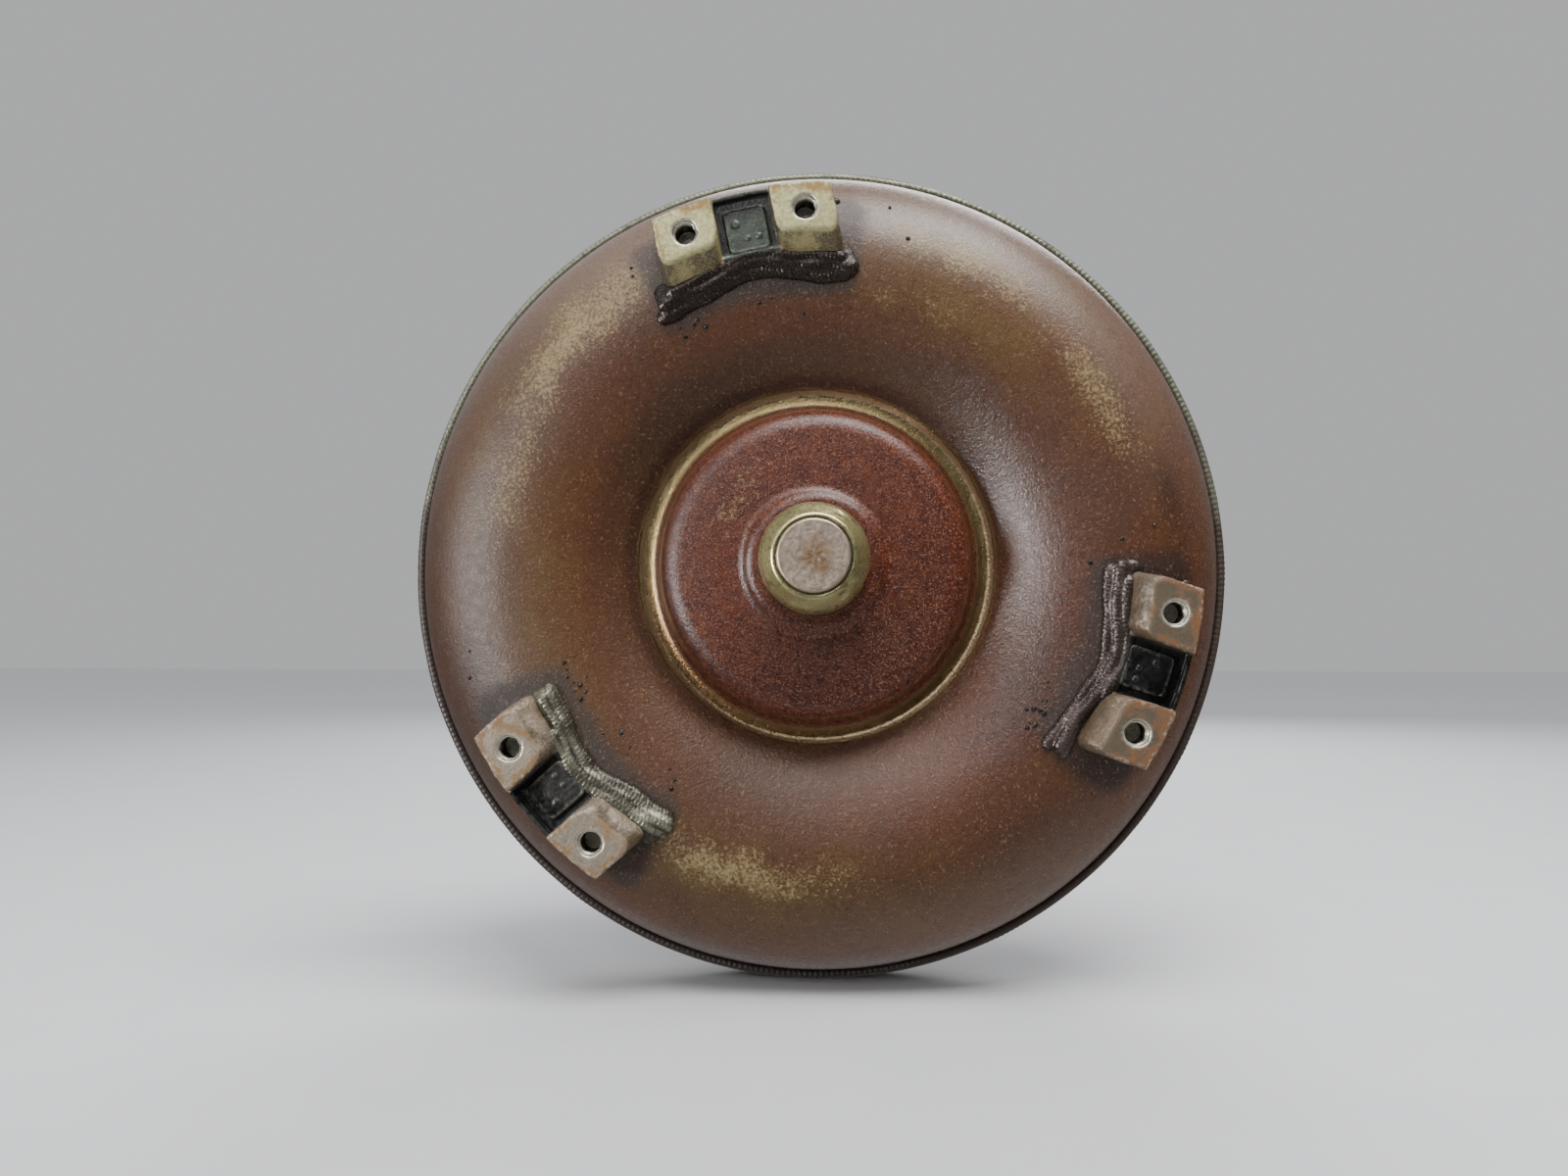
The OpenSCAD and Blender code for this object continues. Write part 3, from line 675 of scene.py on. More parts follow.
def build_welds():
    """Weld beads of the three lugs as one piece."""
    beads, weights = [], []
    for number, name in enumerate(LUG_NAMES):
        field = weld_field(name)
        points, quads = solid(field, WELD_BOX_LOW, WELD_BOX_HIGH, 0.5)
        rise = unit_rows(slope_of(points, field, 0.4))
        points = points + rise * (0.05 * waves(points, 1.3, 70 + number))[:, None]
        r, turn = np.hypot(points[:, 0], points[:, 1]), np.arctan2(points[:, 1], points[:, 0])
        # Paleness of the bead from the lug's tone, partly oxide tint and partly painted light
        outward = np.abs(np.degrees(turn)) / 20
        tone = smooth(outward * 1.7 - 0.6) + 0.3 * waves(points, 14, 80 + number)
        # Painted shade in the valleys between strands, by distance from the nearest crest
        gap = np.min([np.abs(r - strand_line(turn * BULGE_R, middle_r, seed))
                      for middle_r, *_, seed in LUG_STRANDS[name]], 0)
        weights.append((WELD_TONES[name] * (0.5 + 0.5 * tone), WELD_MAUVE[name] + 0 * r,
                        smooth((gap - 0.5) / 0.9) * smooth((7 - gap) / 3)))
        beads.append((turned(points, LUG_ANGLES[name]), quads))
    fresh, mauve, valley = (np.concatenate(values) for values in zip(*weights))
    make_piece("lug_weld_beads", *joined(beads), weld_material(), "lug_welds", "weld_bead", 60,
               {"fresh": fresh, "mauve": mauve, "valley": valley})


def drop(centre, outward, size, rng):
    """A flattened round drop of spatter that sits on a surface."""
    rings, around, squash = 5, 10, 0.75
    side = unit(np.cross(outward, [0.3, 0.5, 0.8]))
    other = np.cross(outward, side)
    points, faces = [centre + outward * size * squash], []
    for i in range(1, rings + 1):
        tilt = math.pi * 0.62 * i / rings
        for j in range(around):
            turn = 2 * math.pi * j / around
            wobble = size * (1 + 0.12 * rng.normal())
            flat = side * math.cos(turn) + other * math.sin(turn)
            points.append(centre + flat * math.sin(tilt) * wobble
                          + outward * math.cos(tilt) * wobble * squash)
    for j in range(around):
        k = (j + 1) % around
        faces.append((0, 1 + j, 1 + k))
        for a in range(1, 1 + (rings - 1) * around, around):
            faces.append((a + j, a + around + j, a + around + k, a + k))
    last = 1 + (rings - 1) * around
    faces.append(tuple(last + j for j in reversed(range(around))))
    return np.array(points), faces


def build_spatter():
    """Drops of weld spatter on the cover round each lug."""
    rng, drops = np.random.default_rng(5), []
    for name in LUG_NAMES:
        for _ in range(DROPS_PER_LUG):
            side = rng.choice([-1, 1])
            s = side * abs(rng.normal(31, 9)) if rng.random() < 0.7 else rng.uniform(-30, 30)
            r = rng.uniform(96, 124) if abs(s) > 36 else 90 - abs(rng.normal(0, 3.5))
            angle = math.radians(LUG_ANGLES[name]) + s / BULGE_R
            flat = np.array([math.cos(angle), math.sin(angle), 0])
            spot = flat * r + np.array([0, 0, float(crown_of(r))])
            centre = flat * BULGE_R + np.array([0, 0, BULGE_Z if r > BULGE_R else DISH_Z])
            out = unit(spot - centre)
            size = float(np.clip(rng.gamma(4, 0.11), 0.22, 0.85))
            drops.append(drop(spot + out * size * 0.1, out, size, rng))
    make_piece("weld_spatter", *joined(drops), soot_material(), slot="weld_bead")


# Each patch as direction, half width in degrees, radius, half width across and strength
WORN_PATCHES = {
    "upper_left": (133, 40, 112, 19, 1.0),
    "left": (163, 34, 105, 15, 0.8),
    "bottom": (250, 55, 103, 15, 0.8),
    "right_of_top_lug": (64, 30, 112, 15, 1.0),
    "upper_right": (32, 32, 109, 14, 0.85),
    "above_middle": (75, 40, 92, 10, 0.5),
    "lower_left": (200, 22, 112, 16, 0.4),
    "middle": (140, 60, 34, 10, 0.6),
}
TONE_PATCHES = {
    "red": [(-20, 80, 78, 26, 0.6)],
    # grey: partly discoloured paint, partly painted sheen and reflection where the bulge faces the
    # light
    "grey": [(60, 62, 121, 22, 1.0), (122, 34, 122, 16, 0.9), (175, 60, 126, 16, 0.2),
             (292, 55, 124, 18, 0.45)],
    # dark: mostly painted shade where the surface turns from the light, with a few dark spots
    "dark": [(135, 95, 68, 15, 0.8), (-60, 90, 112, 24, 0.3), (-55, 110, 36, 24, 0.6),
             (-30, 34, 80, 22, 0.8), (10, 12, 118, 8, 0.7), (98, 14, 96, 9, 0.5)],
    "olive": [(250, 70, 108, 26, 1.0), (62, 45, 97, 20, 1.1), (185, 50, 92, 20, 0.9),
              (150, 45, 118, 18, 0.5)],
    "dull": [(190, 70, 114, 34, 1.0), (165, 75, 46, 14, 0.8)],
}


def patch(angle, r, centre, half_angle, middle, half_band, strength):
    """A patch of wear in the given direction, round the given radius."""
    return lobe(angle, centre, half_angle) * band(r, middle, half_band) * strength


# -------- turned pieces


def cover_weights(points):
    """How worn, sooty, red, grey, dark, olive and dull the cover's paint is at each point; grey is
    partly painted sheen, dark mostly painted shade.
    """
    x, y, _ = points.T
    r, angle = np.hypot(x, y), np.degrees(np.arctan2(y, x))
    soot, half_length, inner_r, outer_r, reach = 0 * r, 30, 95, 118, 13
    for lug_angle in LUG_ANGLES.values():
        s = np.radians((angle - lug_angle + 180) % 360 - 180) * BULGE_R
        across = np.maximum(np.maximum(inner_r - r, r - outer_r), 0)
        away = np.hypot(np.maximum(np.abs(s) - half_length, 0), across)
        soot = np.maximum(soot, smooth(1 - away / reach))
    worn = np.max([patch(angle, r, *shape) for shape in WORN_PATCHES.values()], 0)
    weights = {"soot": soot, "worn": worn, "red": smooth((60 - r) / 8)}
    for name, patches in TONE_PATCHES.items():
        start = weights.get(name, 0 * r)
        weights[name] = start + sum(patch(angle, r, *shape) for shape in patches)
    return {name: np.clip(value, 0, 1) for name, value in weights.items()}


def build_cover():
    """Front cover with press waviness and a faint scribed arc on it."""
    outer = evenly(rounded(COVER_OUTLINE, 3.0), 1.3)
    inner = evenly(rounded(moved(COVER_OUTLINE, COVER_WALL), 14.0)[::-1], 12.0)
    scribe_r = 105.0

    def relief(r, z, angle):
        turn = np.radians(angle)
        wave = 0.07 * np.sin(3 * turn + r / 9) + 0.05 * np.sin(7 * turn - r / 5)
        wave = wave * smooth((r - 62) / 10) * smooth((RIM_R - 6 - r) / 6)
        return wave - 0.1 * np.exp(-(((r - scribe_r) / 0.5) ** 2)) * lobe(angle, 48, 42) * (z > 0)

    points, faces = lathe(outer, 360, relief, inner)
    make_piece("front_cover_shell", points, faces, cover_material(), "front_cover",
               "scorched_paint", 50, cover_weights(points))


def build_pilot():
    """Pilot with a rounded shoulder, a groove round its face, a nick and a few dents."""
    flange_r, flange_z = 24.0, PILOT_BACK_Z + 2.55
    neck_r, shoulder_z = PILOT_SEAT_R - 0.05, PILOT_END_Z - 8
    groove_z = PILOT_END_Z - 1.5
    outline = [
        (0, PILOT_BACK_Z, 0),
        (flange_r, PILOT_BACK_Z, 0.5),
        (flange_r, flange_z, 0),
        (neck_r, flange_z, 0),
        (neck_r, COLLAR_Z, 0.2),
        (PILOT_R, COLLAR_Z + 0.3, 0.2),
        (PILOT_R, PILOT_END_Z - 7.5, 6.5),
        (12.5, PILOT_END_Z - 0.9, 1.2),
        (12.0, groove_z, 0.15),
        (11.5, groove_z, 0.15),
        (11.3, PILOT_END_Z, 0.6),
        (0.0, PILOT_END_Z - 0.12, 0),
    ]
    # Each as direction, half width in degrees, radius, half width across and depth
    nicks = ((-38, 13, 13.6, 1.6, 0.5), (-52, 8, 14.9, 1.1, 0.35), (60, 9, 15.5, 1.2, 0.2))
    scratches = ((75, 40, 2.2, 0.5, 0.15), (250, 34, 3.0, 0.5, 0.15),
                 (330, 60, 1.6, 0.5, 0.15), (160, 22, 4.2, 0.5, 0.15))

    def relief(r, z, angle):
        turn = np.radians(angle)
        ripple = 0.02 * np.sin(9 * turn + r) + 0.02 * np.sin(4 * turn - z)
        nicked, scratched = (sum(patch(angle, r, *mark) for mark in marks) * (z > shoulder_z)
                             for marks in (nicks, scratches))
        return (ripple - nicked) * smooth((z - COLLAR_Z) / 3) * smooth(r / 3) - scratched

    profile = evenly(rounded(outline, 6.0), 0.5)
    make_piece("pilot_nose", *lathe(profile, 256, relief, loop=False), pilot_material(),
               "pilot_boss", "pilot_steel")


def bead_ring(name, node, middle_r, middle_z, thick, seed, material):
    """A weld bead that runs all the way round, with ripples."""
    pitch = 1.9
    ripples = round(2 * math.pi * middle_r / pitch)
    turn = np.radians(np.arange(0, 360, 360 / 12))
    profile = np.stack([middle_r + thick * np.cos(turn), middle_z + thick * np.sin(turn)], 1)

    def relief(r, z, angle):
        s = np.radians(angle)
        across = (r - middle_r) / thick
        wave = np.sin(ripples * s + 1.3 * across**2)
        swell = 0.1 * np.sin(11 * s + seed) + 0.1 * np.sin(29 * s + 2 * seed)
        return thick * (0.06 * wave + swell * 0.7)

    points, faces = lathe(profile, ripples * 5, relief)
    make_piece(name, points, faces, material, node, "weld_bead", 70)


def build_impeller_shell():
    """Impeller shell with the dents that locate its blades."""
    outer = evenly(rounded(SHELL_OUTLINE, 4.0), 1.8)
    inner = evenly(rounded(moved(SHELL_OUTLINE, -SHELL_WALL), 12.0)[::-1], 10.0)
    blades, lean, dent_depth = 31, 0.010, 0.75

    def relief(r, z, angle):
        turn = np.radians(angle)
        wave = 0.08 * np.sin(3 * turn + r / 8) + 0.05 * np.sin(8 * turn - r / 6)
        wave = wave * smooth((r - 40) / 10) * smooth((RIM_R - 6 - r) / 6)
        away = (angle * blades / 360 - lean * r) % 1 - 0.5
        across = smooth(1 - np.abs(away) * 2 * math.pi * r / blades / 2.4)
        dents = across * sum(band(r, dent_r, 4.8) for dent_r in (84, 108, 126))
        return wave - dent_depth * dents * (z < -17)

    points, faces = lathe(outer, 560, relief, inner)
    r = np.hypot(points[:, 0], points[:, 1])
    make_piece("impeller_shell_back", points, faces, shell_material(), "impeller_shell",
               "scorched_paint", 50,
               {"heat": smooth((58 - r) / 14), "edge": smooth((r - RIM_R + 3) / 3)})


def build_hub():
    """Pump hub with eased edges and two drive slots across its end."""
    slot_half_w, slot_depth = 4.5, 11.0
    weld_side = FLANGE_Z - 3.0

    def field(x, y, z):
        r = np.hypot(x, y)
        tube = round_max(r - HUB_R, HUB_END_Z - z, 0.9)
        flange = round_max(r - HUB_FLANGE_R, weld_side - z, 0.4)
        body = round_max(smooth_min(tube, flange, 4.0), HUB_BORE_R - r, 0.5)
        body = np.maximum(body, z - HUB_INNER_Z)
        slot = np.maximum(np.abs(y) - slot_half_w, z - HUB_END_Z - slot_depth)
        return round_max(body, -slot, 0.45)

    reach = HUB_FLANGE_R + 2
    lowest, highest = (-reach, -reach, HUB_END_Z - 2), (reach, reach, HUB_INNER_Z + 2)
    points, quads = solid(field, lowest, highest, 0.8)
    from_end = points[:, 2] - HUB_END_Z
    make_piece("pump_hub_sleeve", points, quads.tolist(), hub_material(), "impeller_hub",
               "ground_steel", 60, {"track": band(from_end, 24, 7) + 0.8 * band(from_end, 36, 3)})


# -------- materials
# Colours are screen values from 0 to 255. A ramp's numbers are where a noise or a place
# fades in, and how strong it gets.


def rgb(red, green, blue):
    """Screen colour from 0 to 255 to the linear colour that shaders use."""
    def linear(c):
        c = c / 255
        return c / 12.92 if c <= 0.04045 else ((c + 0.055) / 1.055) ** 2.4
    return (linear(red), linear(green), linear(blue), 1.0)


class Nodes:
    """Short calls that add nodes to a tree."""

    def __init__(self, tree):
        self.tree = tree

    def put(self, socket, value):
        if isinstance(value, bpy.types.NodeSocket):
            self.tree.links.new(value, socket)
        else:
            socket.default_value = value

    def node(self, kind, *values, output=0, settings=None, **named):
        made = self.tree.nodes.new(kind)
        for key, value in (settings or {}).items():
            setattr(made, key, value)
        for socket, value in zip(made.inputs, values):
            self.put(socket, value)
        for key, value in named.items():
            self.put(made.inputs[key.replace("_", " ")], value)
        return made.outputs[output]

    def math(self, operation, *values):
        return self.node("ShaderNodeMath", *values, settings={"operation": operation})

    def vector(self, operation, *values, **named):
        settings = {"operation": operation}
        return self.node("ShaderNodeVectorMath", *values, settings=settings, **named)

    def add(self, a, b):
        return self.math("ADD", a, b)

    def times(self, a, b):
        return self.math("MULTIPLY", a, b)

    def larger(self, a, b):
        return self.math("MAXIMUM", a, b)

    def rest(self, share):
        """What a share leaves of 1."""
        return self.math("SUBTRACT", 1.0, share)

    def length(self, a, b):
        return self.math("SQRT", self.add(self.times(a, a), self.times(b, b)))

    def ramp(self, value, first, last, start=0.0, end=1.0):
        """value between first and last turned smoothly into start to end."""
        return self.node("ShaderNodeMapRange", value, first, last, start, end,
                         settings={"interpolation_type": "SMOOTHSTEP"})

    def window(self, value, rise, fall, width):
        """1 from just past rise to fall, with flanks of the given width."""
        return self.times(self.ramp(value, rise, rise + width),
                          self.ramp(value, fall, fall + width, 1, 0))


class Shade(Nodes):
    """Builds one material's nodes. Lengths are in millimetres."""

    def __init__(self, name):
        self.material = bpy.data.materials.new(name)
        self.material.use_nodes = True
        super().__init__(self.material.node_tree)
        self.surface = self.tree.nodes["Principled BSDF"]
        self.colour = None
        coordinates = self.node("ShaderNodeTexCoord", output="Object")
        self.place = self.vector("SCALE", coordinates, Scale=1 / MM)
        split = self.node("ShaderNodeSeparateXYZ", self.place).node
        self.x, self.depth, self.up = split.outputs
        self.radius = self.length(self.x, self.up)
        self.turn = self.math("ARCTAN2", self.up, self.x)

    def noise(self, size, detail=3.0, rough=0.55, seed=0.0):
        """Noise from 0 to 1 with bumps of the given size."""
        spot = self.vector("ADD", self.place, (seed * 37.1, seed * 11.7, seed * 23.3))
        return self.node("ShaderNodeTexNoise", Vector=spot, Scale=1 / size, Detail=detail,
                         Roughness=rough)

    def streaks(self, across, along, seed=0.0):
        """Noise drawn out round the axis: across in millimetres, along in radians."""
        spot = self.node("ShaderNodeCombineXYZ", self.times(self.radius, 1 / across),
                         self.times(self.turn, 1 / along),
                         self.add(self.times(self.depth, 1 / across), seed * 7.3))
        return self.node("ShaderNodeTexNoise", Vector=spot, Scale=1.0, Detail=2.0)

    def weight(self, name):
        return self.node("ShaderNodeAttribute", output="Fac", settings={"attribute_name": name})

    def mix(self, share, a, b):
        made = self.node("ShaderNodeMix", share, output=2, settings={"data_type": "RGBA"})
        self.put(made.node.inputs[6], a)
        self.put(made.node.inputs[7], b)
        return made

    def over(self, share, *screen_colour):
        """Lays a screen colour over the colour so far."""
        self.colour = self.mix(share, self.colour, rgb(*screen_colour))

    def bump(self, *layers):
        """Bump from (height, depth in millimetres) layers, one on another."""
        below = {}
        for height, depth in layers:
            normal = self.node("ShaderNodeBump", Strength=1.0, Distance=depth * MM,
                               Height=height, **below)
            below = {"Normal": normal}
        self.put(self.surface.inputs["Normal"], normal)

    def finish(self, roughness, metallic=0.0, **others):
        named = {"Base Color": self.colour, "Roughness": roughness, "Metallic": metallic}
        for key, value in {**named, **others}.items():
            self.put(self.surface.inputs[key.replace("_", " ")], value)
        return self.material


def cover_material():
    """Heat-browned satin paint, worn to gold specks, sooty at the welds, bare in the groove, with
    painted shade, sheen, glints and a highlight in the groove.
    """
    s = Shade("scorched_paint_front")
    broad, cloud, mottle = s.noise(60, 2), s.noise(18, 4, seed=1), s.noise(3.2, 4, 0.65, seed=8)
    fine, grit = s.noise(2.4, 4, seed=2), s.noise(1.0, 3, 0.7, seed=3)
    sand, red = s.noise(0.55, 2, 0.7, seed=9), s.weight("red")
    uneven = s.add(cloud, -0.5)
    s.colour = s.mix(s.ramp(broad, 0.35, 0.65), rgb(86, 52, 33), rgb(81, 55, 40))
    s.over(s.ramp(cloud, 0.45, 0.75, 0, 0.6), 94, 60, 32)
    s.over(s.times(s.weight("olive"), s.ramp(cloud, 0.3, 0.6, 0.3, 0.9)), 97, 74, 38)
    burgundy = s.mix(s.ramp(mottle, 0.35, 0.7), rgb(72, 23, 15), rgb(104, 48, 24))
    s.colour = s.mix(s.times(red, 0.9), s.colour, burgundy)
    # Pale grey patches: partly discoloured paint, partly painted sheen and reflection
    s.over(s.times(s.weight("grey"), 0.6), 128, 114, 99)
    # Painted shade from the dark patches, and a darker band just outside the groove
    ring = s.times(s.ramp(s.radius, 60.5, 62), s.ramp(s.radius, 63, 66, 0.3, 0))
    s.over(s.add(ring, s.times(s.weight("dark"), 0.7)), 34, 22, 15)
    s.over(s.ramp(mottle, 0.5, 0.75, 0, 0.24), 30, 18, 12)

    specks = s.add(s.times(s.weight("worn"), 0.2), s.add(s.times(cloud, 0.3), s.times(grit, 0.6)))
    worn = s.times(s.ramp(specks, 0.53, 0.73), s.ramp(s.weight("worn"), 0.02, 0.5))
    s.over(s.times(worn, 0.85), 160, 142, 98)
    soot = s.ramp(s.add(s.weight("soot"), s.times(uneven, 0.9)), 0.25, 0.95)
    s.over(s.times(soot, 0.75), 36, 29, 25)
    # Pale grit specks in the paint, partly painted glints
    s.over(s.ramp(grit, 0.58, 0.66, 0, 0.42), 156, 116, 94)
    sanded = s.ramp(red, 0, 1, 0.08, 0.36)
    s.over(s.times(s.ramp(sand, 0.5, 0.62), sanded), 24, 14, 10)
    s.over(s.times(s.ramp(sand, 0.45, 0.35), sanded), 190, 142, 118)
    s.over(s.ramp(s.noise(2.6, 2, seed=5), 0.7, 0.76, 0, 0.4), 30, 22, 18)

    bare_in, highlight_in, highlight_out, bare_out, fade = 54.6, 58.0, 59.8, 60.6, 0.8
    paint, edge = s.colour, s.add(s.radius, s.add(fine, -0.5))
    s.colour = s.mix(s.ramp(s.up, 30, -40), rgb(150, 132, 92), rgb(142, 110, 74))
    stain = s.ramp(s.add(s.streaks(0.5, 0.12, seed=7), s.times(uneven, 0.6)), 0.35, 0.6)
    # Outer side of the groove darkened, partly stain and partly painted shade, left clear towards
    # the right where the groove is lit
    outside = s.times(s.ramp(s.radius, 56.8, 58.2), s.ramp(s.x, 20, 54, 1, 0))
    outside = s.times(outside, s.ramp(stain, 0, 1, 0.15, 0.4))
    s.over(s.add(s.times(stain, 0.25), outside), 58, 42, 24)
    # Painted highlight: a pale line along the groove's crease, stronger towards the right
    crease = s.window(edge, highlight_in, highlight_out, fade)
    crease = s.times(crease, s.ramp(s.x, -50, 50, 0.3, 0.85))
    s.over(crease, 226, 200, 160)
    bare = s.times(s.window(edge, bare_in, bare_out, fade), s.ramp(s.depth, -23.0, -21.0))
    s.colour = s.mix(bare, paint, s.colour)

    roughness = s.add(s.ramp(fine, 0.3, 0.7, 0.25, 0.35), s.times(soot, 0.18))
    roughness = s.add(roughness, s.add(s.times(s.weight("dull"), 0.2), s.times(worn, 0.12)))
    s.bump((grit, 0.2), (sand, 0.05), (fine, 0.08), (s.streaks(0.8, 0.7), 0.03))
    return s.finish(roughness, s.times(bare, 0.85))


def shell_material():
    """The same paint on the back, bluer and blacker where the hub was welded."""
    s = Shade("scorched_paint_back")
    broad, cloud = s.noise(60, 2, seed=9), s.noise(16, 4, seed=10)
    fine, grit = s.noise(2.4, 4, seed=11), s.noise(0.8, 3, 0.7, seed=12)
    s.colour = s.mix(s.ramp(broad, 0.35, 0.65), rgb(90, 62, 50), rgb(78, 60, 56))
    s.over(s.ramp(cloud, 0.45, 0.75, 0, 0.6), 96, 66, 48)
    heat = s.ramp(s.add(s.weight("heat"), s.times(s.add(cloud, -0.5), 0.8)), 0.3, 0.9)
    s.over(s.times(heat, 0.8), 46, 44, 48)
    s.over(s.times(s.ramp(grit, 0.56, 0.66, 0, 0.6), s.ramp(cloud, 0.5, 0.7)), 134, 116, 78)
    rim = s.times(s.weight("edge"), s.ramp(fine, 0.35, 0.6))
    s.over(rim, 112, 108, 92)
    s.bump((grit, 0.05), (fine, 0.05), (s.streaks(0.8, 0.7), 0.015))
    roughness = s.add(s.ramp(fine, 0.3, 0.7, 0.38, 0.52), s.times(heat, 0.2))
    return s.finish(roughness, s.times(rim, 0.6), Coat_Weight=0.15, Coat_Roughness=0.3)


# Each lug's plain, rust, rust share and oil tints; the right lug's darker plain tint is partly
# painted shade on its pads
LUG_TINTS = {
    "top": (rgb(190, 184, 136), rgb(150, 118, 62), 0.6, rgb(58, 66, 56)),
    "left": (rgb(172, 159, 142), rgb(134, 102, 64), 0.77, rgb(38, 35, 31)),
    "right": (rgb(130, 117, 98), rgb(130, 84, 48), 0.74, rgb(20, 21, 20)),
}


def lug_material(name, tints):
    """Milled pads with rust from the edges, a pocket black with old oil, and painted shade in its
    trench, at its outer end and down the tapped holes.
    """
    plain, rust, rust_share, oil = tints
    s = Shade(f"lug_steel_{name}")
    cloud, fine = s.noise(8, 5, 0.6, seed=20), s.noise(1.3, 4, seed=21)
    grit = s.noise(0.5, 3, seed=22)
    edge, pocket, tapped = s.weight("edge"), s.weight("pocket"), s.weight("tapped")
    flank = s.rest(s.weight("machined"))
    s.colour = plain
    s.over(s.ramp(fine, 0.38, 0.7, 0, 0.385), 84, 76, 58)
    stain = s.add(s.times(s.weight("near_edge"), 0.14), s.add(cloud, s.times(fine, 0.12)))
    rusty = 0.85 - rust_share * 0.4
    stain = s.ramp(stain, rusty, rusty + 0.19)
    s.colour = s.mix(s.times(stain, 0.9), s.colour, rust)
    grime = s.mix(s.ramp(cloud, 0.4, 0.6, 0.35, 1), s.mix(0.4, plain, rust), rgb(78, 68, 52))
    s.colour = s.mix(s.times(flank, s.ramp(grit, 0.4, 0.6, 0.65, 1)), s.colour, grime)
    pale = s.mix(0.6, plain, rgb(225, 218, 200))
    s.colour = s.mix(s.times(edge, s.ramp(fine, 0.5, 0.35, 0, 0.5)), s.colour, pale)
    s.over(s.ramp(grit, 0.62, 0.69, 0, 0.7), 46, 32, 22)

    floor = s.mix(s.times(edge, s.ramp(fine, 0.35, 0.6, 0, 0.4)), oil, rgb(112, 115, 102))
    # Painted shade: the pocket floor goes near black in its trench, and towards its outer end,
    # where it is partly dirt
    black = s.larger(s.ramp(s.radius, 113, 118, 0, 0.8), s.times(s.weight("trench"), 0.9))
    floor = s.mix(black, floor, rgb(16, 16, 14))
    s.colour = s.mix(pocket, s.colour, floor)
    # Thread walls with painted shade, darker further down each hole
    shaded_thread = s.mix(s.weight("hole_shade"), rgb(200, 194, 176), rgb(58, 52, 44))
    s.colour = s.mix(tapped, s.colour, shaded_thread)
    metallic = s.larger(s.add(0.6, s.times(stain, -0.4)), tapped)
    metallic = s.times(metallic, s.rest(s.times(s.larger(pocket, flank), 0.5)))
    roughness = s.add(s.ramp(fine, 0.3, 0.7, 0.34, 0.5), s.times(stain, 0.15))
    roughness = s.add(roughness, s.times(s.larger(pocket, tapped), -0.12))
    s.bump((fine, 0.1), (grit, 0.08))
    return s.finish(roughness, metallic)


def weld_material():
    """Oxidised weld bead, grey-green, mauve and dark, partly painted light: pale where lit, dark
    where shaded, with painted shade between strands and painted glints.
    """
    s = Shade("weld_bead_lugs")
    cloud, fine, grit = s.noise(7, 3, seed=30), s.noise(1.6, 3, seed=32), s.noise(0.6, 3, seed=31)
    # Paleness from the lug's tone, partly oxide tint and partly painted light
    fresh = s.ramp(s.add(s.weight("fresh"), s.times(s.add(cloud, -0.5), 0.7)), 0.0, 1.1)
    bright = s.mix(s.weight("mauve"), rgb(132, 130, 112), rgb(88, 72, 70))
    s.colour = s.mix(fresh, rgb(54, 44, 39), bright)
    # Painted shade in the valleys between strands
    s.over(s.times(s.weight("valley"), s.ramp(cloud, 0.3, 0.6, 0.45, 0.85)), 46, 37, 33)
    s.over(s.ramp(fine, 0.55, 0.75, 0, 0.4), 58, 46, 40)
    # Painted glints: pale flecks on the bead
    s.over(s.ramp(grit, 0.62, 0.7, 0, 0.5), 176, 166, 156)
    s.bump((grit, 0.12), (cloud, 0.15))
    return s.finish(s.ramp(grit, 0.3, 0.7, 0.22, 0.38), 0.5)


def soot_material():
    """Burnt black of the weld spatter."""
    s = Shade("spatter_black")
    grit = s.noise(0.5, 3, seed=35)
    s.colour = s.mix(s.ramp(grit, 0.4, 0.7), rgb(22, 20, 20), rgb(60, 52, 48))
    s.bump((grit, 0.05))
    return s.finish(s.ramp(grit, 0.3, 0.7, 0.3, 0.5), 0.3)


def seam_material():
    """Bare grey-green seam bead with brown stretches."""
    s = Shade("weld_bead_seam")
    cloud, fine, grit = s.noise(24, 3, seed=40), s.noise(2, 4, seed=41), s.noise(0.6, 3, seed=42)
    high = s.ramp(s.up, -20, 90)
    bare = s.ramp(s.add(s.times(high, 0.6), s.times(cloud, 0.8)), 0.55, 0.85)
    s.colour = s.mix(bare, rgb(70, 56, 48), rgb(128, 130, 112))
    s.over(s.ramp(fine, 0.5, 0.7, 0, 0.6), 60, 56, 46)
    s.bump((fine, 0.15), (grit, 0.06))
    return s.finish(s.ramp(fine, 0.3, 0.7, 0.4, 0.6), s.times(bare, 0.6))


def hub_weld_material():
    """Grey weld bead between the hub and the impeller shell."""
    s = Shade("weld_bead_hub")
    fine, grit = s.noise(2, 4, seed=44), s.noise(0.6, 3, seed=45)
    s.colour = s.mix(s.ramp(fine, 0.4, 0.7), rgb(60, 54, 52), rgb(106, 100, 90))
    s.bump((fine, 0.12), (grit, 0.05))
    return s.finish(s.ramp(fine, 0.3, 0.7, 0.35, 0.55), 0.5)


